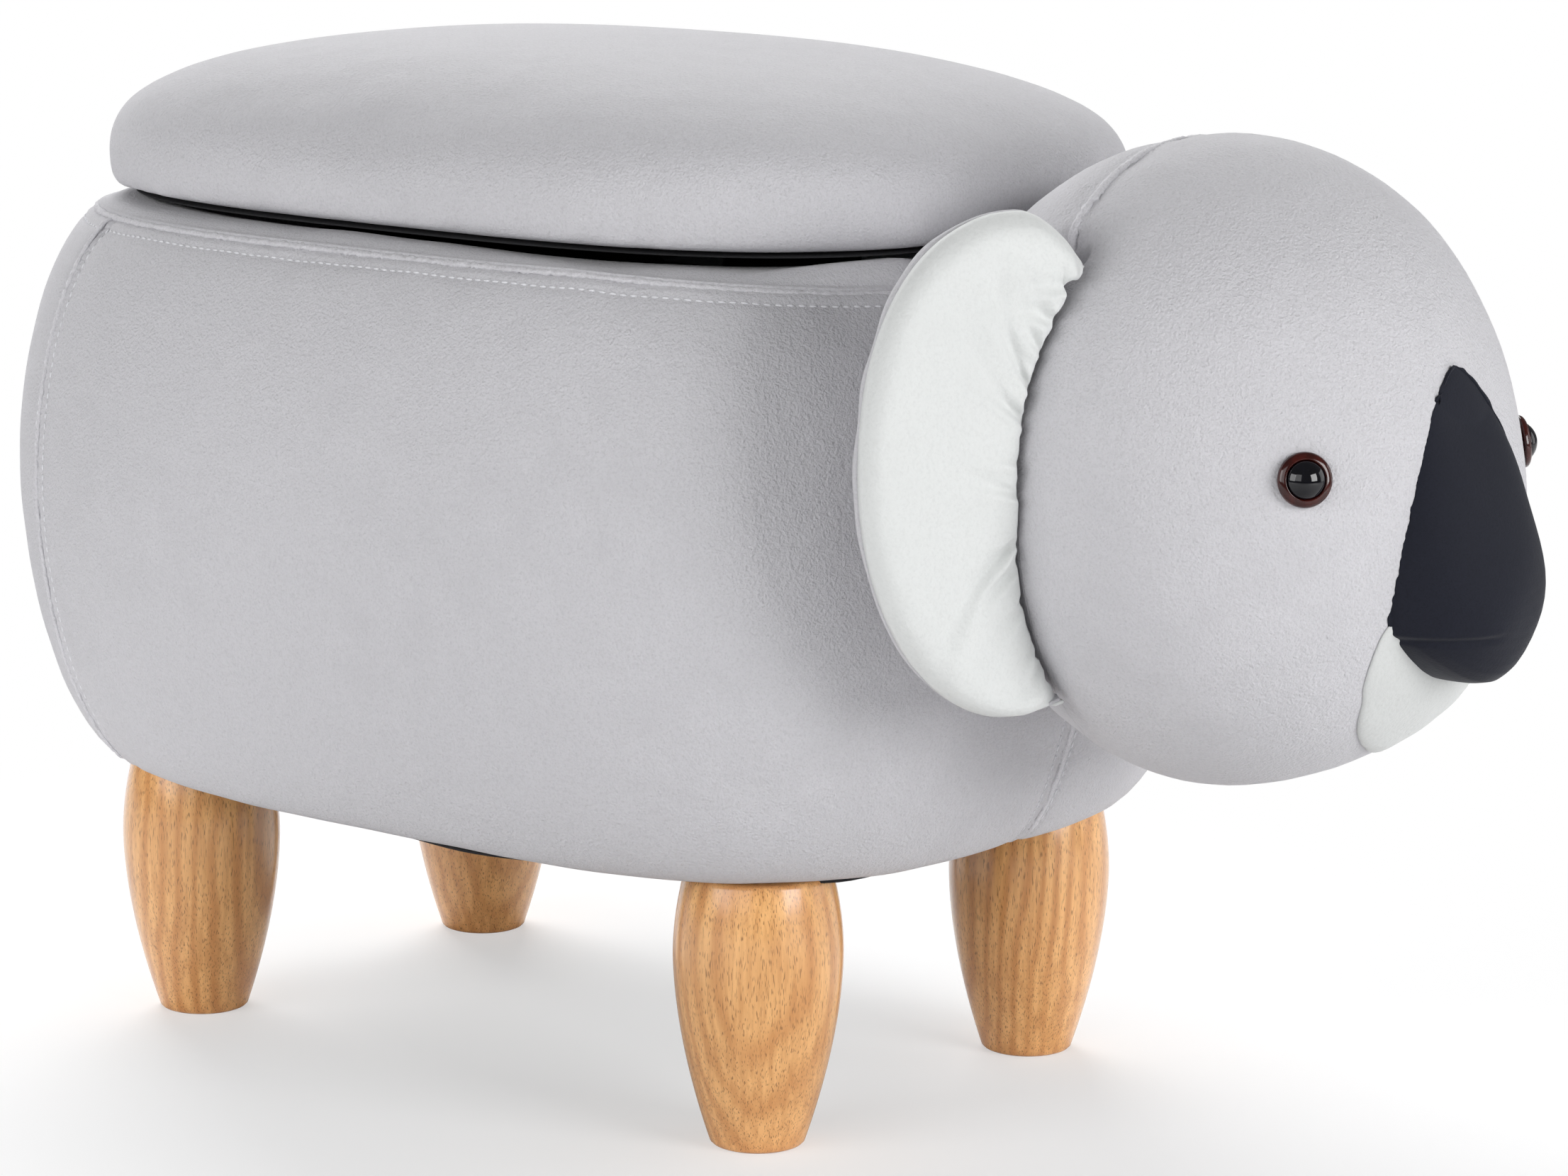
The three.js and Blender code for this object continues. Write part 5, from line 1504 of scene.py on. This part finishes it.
class FOOTSTOOL_OT_stage(bpy.types.Operator):
    """Pale floor, five softboxes, an even sky and the camera"""
    bl_idname = "footstool.stage"
    bl_label = "Stage"

    def execute(self, context):
        scene = context.scene
        axes = self.camera(scene)
        self.lamps(scene, axes)
        self.sky(scene)
        self.floor(scene)
        scene.view_settings.view_transform = "Standard"
        return {"FINISHED"}

    def camera(self, scene):
        """The camera at the viewing angle; gives its right, up and back."""
        s = sizes()
        az, el, roll = s.camera_azimuth, s.camera_elevation, s.camera_roll
        back = Vector((math.sin(az) * math.cos(el), -math.cos(az) * math.cos(el), math.sin(el)))
        level = Vector((math.cos(az), math.sin(az), 0))
        over = back.cross(level)
        right = level * math.cos(roll) + over * math.sin(roll)
        up = over * math.cos(roll) - level * math.sin(roll)
        lens = bpy.data.cameras.new("camera")
        lens.sensor_fit, lens.sensor_width, lens.lens = "HORIZONTAL", SENSOR_MM, LENS_MM
        camera = bpy.data.objects.new("camera", lens)
        turned = Matrix((right, up, back)).transposed()
        camera.matrix_world = Matrix.Translation(CAMERA_AT) @ turned.to_4x4()
        scene.collection.objects.link(camera)
        scene.camera = camera
        return right, up, back

    def lamps(self, scene, axes):
        """Softboxes round the stool, placed as the camera sees it."""
        for name, way, size, power in LAMPS:
            light = bpy.data.lights.new(name, "AREA")
            light.shape, light.size, light.energy = "SQUARE", size, power
            lamp = bpy.data.objects.new(name, light)
            towards = sum((axis * part for axis, part in zip(axes, way)), Vector())
            at = LAMPS_AT + towards.normalized() * LAMP_DISTANCE
            faced = (at - LAMPS_AT).to_track_quat("Z", "Y").to_matrix().to_4x4()
            lamp.matrix_world = Matrix.Translation(at) @ faced
            scene.collection.objects.link(lamp)

    def sky(self, scene):
        """An even sky, white to the camera and through glass and dim on what it lights."""
        world = bpy.data.worlds.new("sky")
        world.use_nodes = True
        tree = world.node_tree
        sky = tree.nodes["Background"]
        sky.inputs["Color"].default_value = (1, 1, 1, 1)
        path = node(tree, "ShaderNodeLightPath")
        mirrored = node(tree, "ShaderNodeMath", {"operation": "MULTIPLY"})
        tree.links.new(path.outputs["Is Glossy Ray"], mirrored.inputs[0])
        mirrored.inputs[1].default_value = 0.1
        seen = mirrored.outputs[0]
        for ray in ("Is Camera Ray", "Is Transmission Ray"):
            most = node(tree, "ShaderNodeMath", {"operation": "MAXIMUM"})
            tree.links.new(seen, most.inputs[0])
            tree.links.new(path.outputs[ray], most.inputs[1])
            seen = most.outputs[0]
        level = node(tree, "ShaderNodeMapRange", {"To Min": 0.07, "To Max": 1.0}, Value=seen)
        tree.links.new(level.outputs[0], sky.inputs["Strength"])
        scene.world = world

    def floor(self, scene):
        """A pale floor that keeps the stool's shadow and fades to white round it."""
        bm = bmesh.new()
        bmesh.ops.create_circle(bm, cap_ends=True, segments=96, radius=FLOOR_RADIUS)
        mesh = bpy.data.meshes.new("floor")
        bm.to_mesh(mesh)
        bm.free()
        floor = bpy.data.objects.new("floor", mesh)
        scene.collection.objects.link(floor)
        made, tree, shader, place = new_material("pale_floor")
        mottle = node(tree, "ShaderNodeTexNoise", {"Scale": 2}, Vector=place).outputs[0]
        dress(tree, shader, mixed(tree, mottle, paint(246, 246, 247), paint(250, 250, 250)),
              Roughness=0.9, Specular_IOR_Level=0.1)
        path = node(tree, "ShaderNodeLightPath")
        flat = node(tree, "ShaderNodeVectorMath", {"operation": "MULTIPLY"}, Vector=place)
        flat.inputs[1].default_value = (1, 1.35, 1)
        far = node(tree, "ShaderNodeVectorMath", {"operation": "LENGTH"})
        tree.links.new(flat.outputs[0], far.inputs[0])
        fade = node(tree, "ShaderNodeMapRange",
                    {"From Min": 0.26, "From Max": 0.62, "To Min": 0.5, "To Max": 1.0,
                     "interpolation_type": "SMOOTHSTEP"}, Value=far.outputs["Value"])
        glow = node(tree, "ShaderNodeMath", {"operation": "MULTIPLY"})
        tree.links.new(path.outputs["Is Camera Ray"], glow.inputs[0])
        tree.links.new(fade.outputs[0], glow.inputs[1])
        white = node(tree, "ShaderNodeEmission", {"Color": (1, 1, 1, 1), "Strength": 1.0})
        both = node(tree, "ShaderNodeMixShader")
        tree.links.new(glow.outputs[0], both.inputs[0])
        tree.links.new(shader.outputs[0], both.inputs[1])
        tree.links.new(white.outputs[0], both.inputs[2])
        tree.links.new(both.outputs[0], tree.nodes["Material Output"].inputs["Surface"])
        mesh.materials.append(made)


OPERATORS = (
    FOOTSTOOL_OT_body, FOOTSTOOL_OT_tub, FOOTSTOOL_OT_legs, FOOTSTOOL_OT_lid,
    FOOTSTOOL_OT_head, FOOTSTOOL_OT_ears, FOOTSTOOL_OT_nose, FOOTSTOOL_OT_eyes,
    FOOTSTOOL_OT_fittings, FOOTSTOOL_OT_stage,
)


class FOOTSTOOL_PT_panel(bpy.types.Panel):
    """Lists the steps that dress the stool."""
    bl_idname = "FOOTSTOOL_PT_panel"
    bl_label = "Animal footstool"
    bl_space_type = "VIEW_3D"
    bl_region_type = "UI"
    bl_category = "Footstool"

    def draw(self, context):
        column = self.layout.column()
        for operator in OPERATORS:
            column.operator(operator.bl_idname)
        for group in (context.scene.footstool_sizes, context.scene.footstool_colours):
            box = self.layout.box()
            for name in group.__annotations__:
                box.prop(group, name)


CLASSES = (FootstoolSizes, FootstoolColours, *OPERATORS, FOOTSTOOL_PT_panel)


def register():
    for cls in CLASSES:
        bpy.utils.register_class(cls)
    bpy.types.Scene.footstool_sizes = bpy.props.PointerProperty(type=FootstoolSizes)
    bpy.types.Scene.footstool_colours = bpy.props.PointerProperty(type=FootstoolColours)


def unregister():
    del bpy.types.Scene.footstool_colours
    del bpy.types.Scene.footstool_sizes
    for cls in reversed(CLASSES):
        bpy.utils.unregister_class(cls)


def main():
    register()
    for operator in OPERATORS:
        group, name = operator.bl_idname.split(".")
        getattr(getattr(bpy.ops, group), name)()


if __name__ == "__main__":
    main()
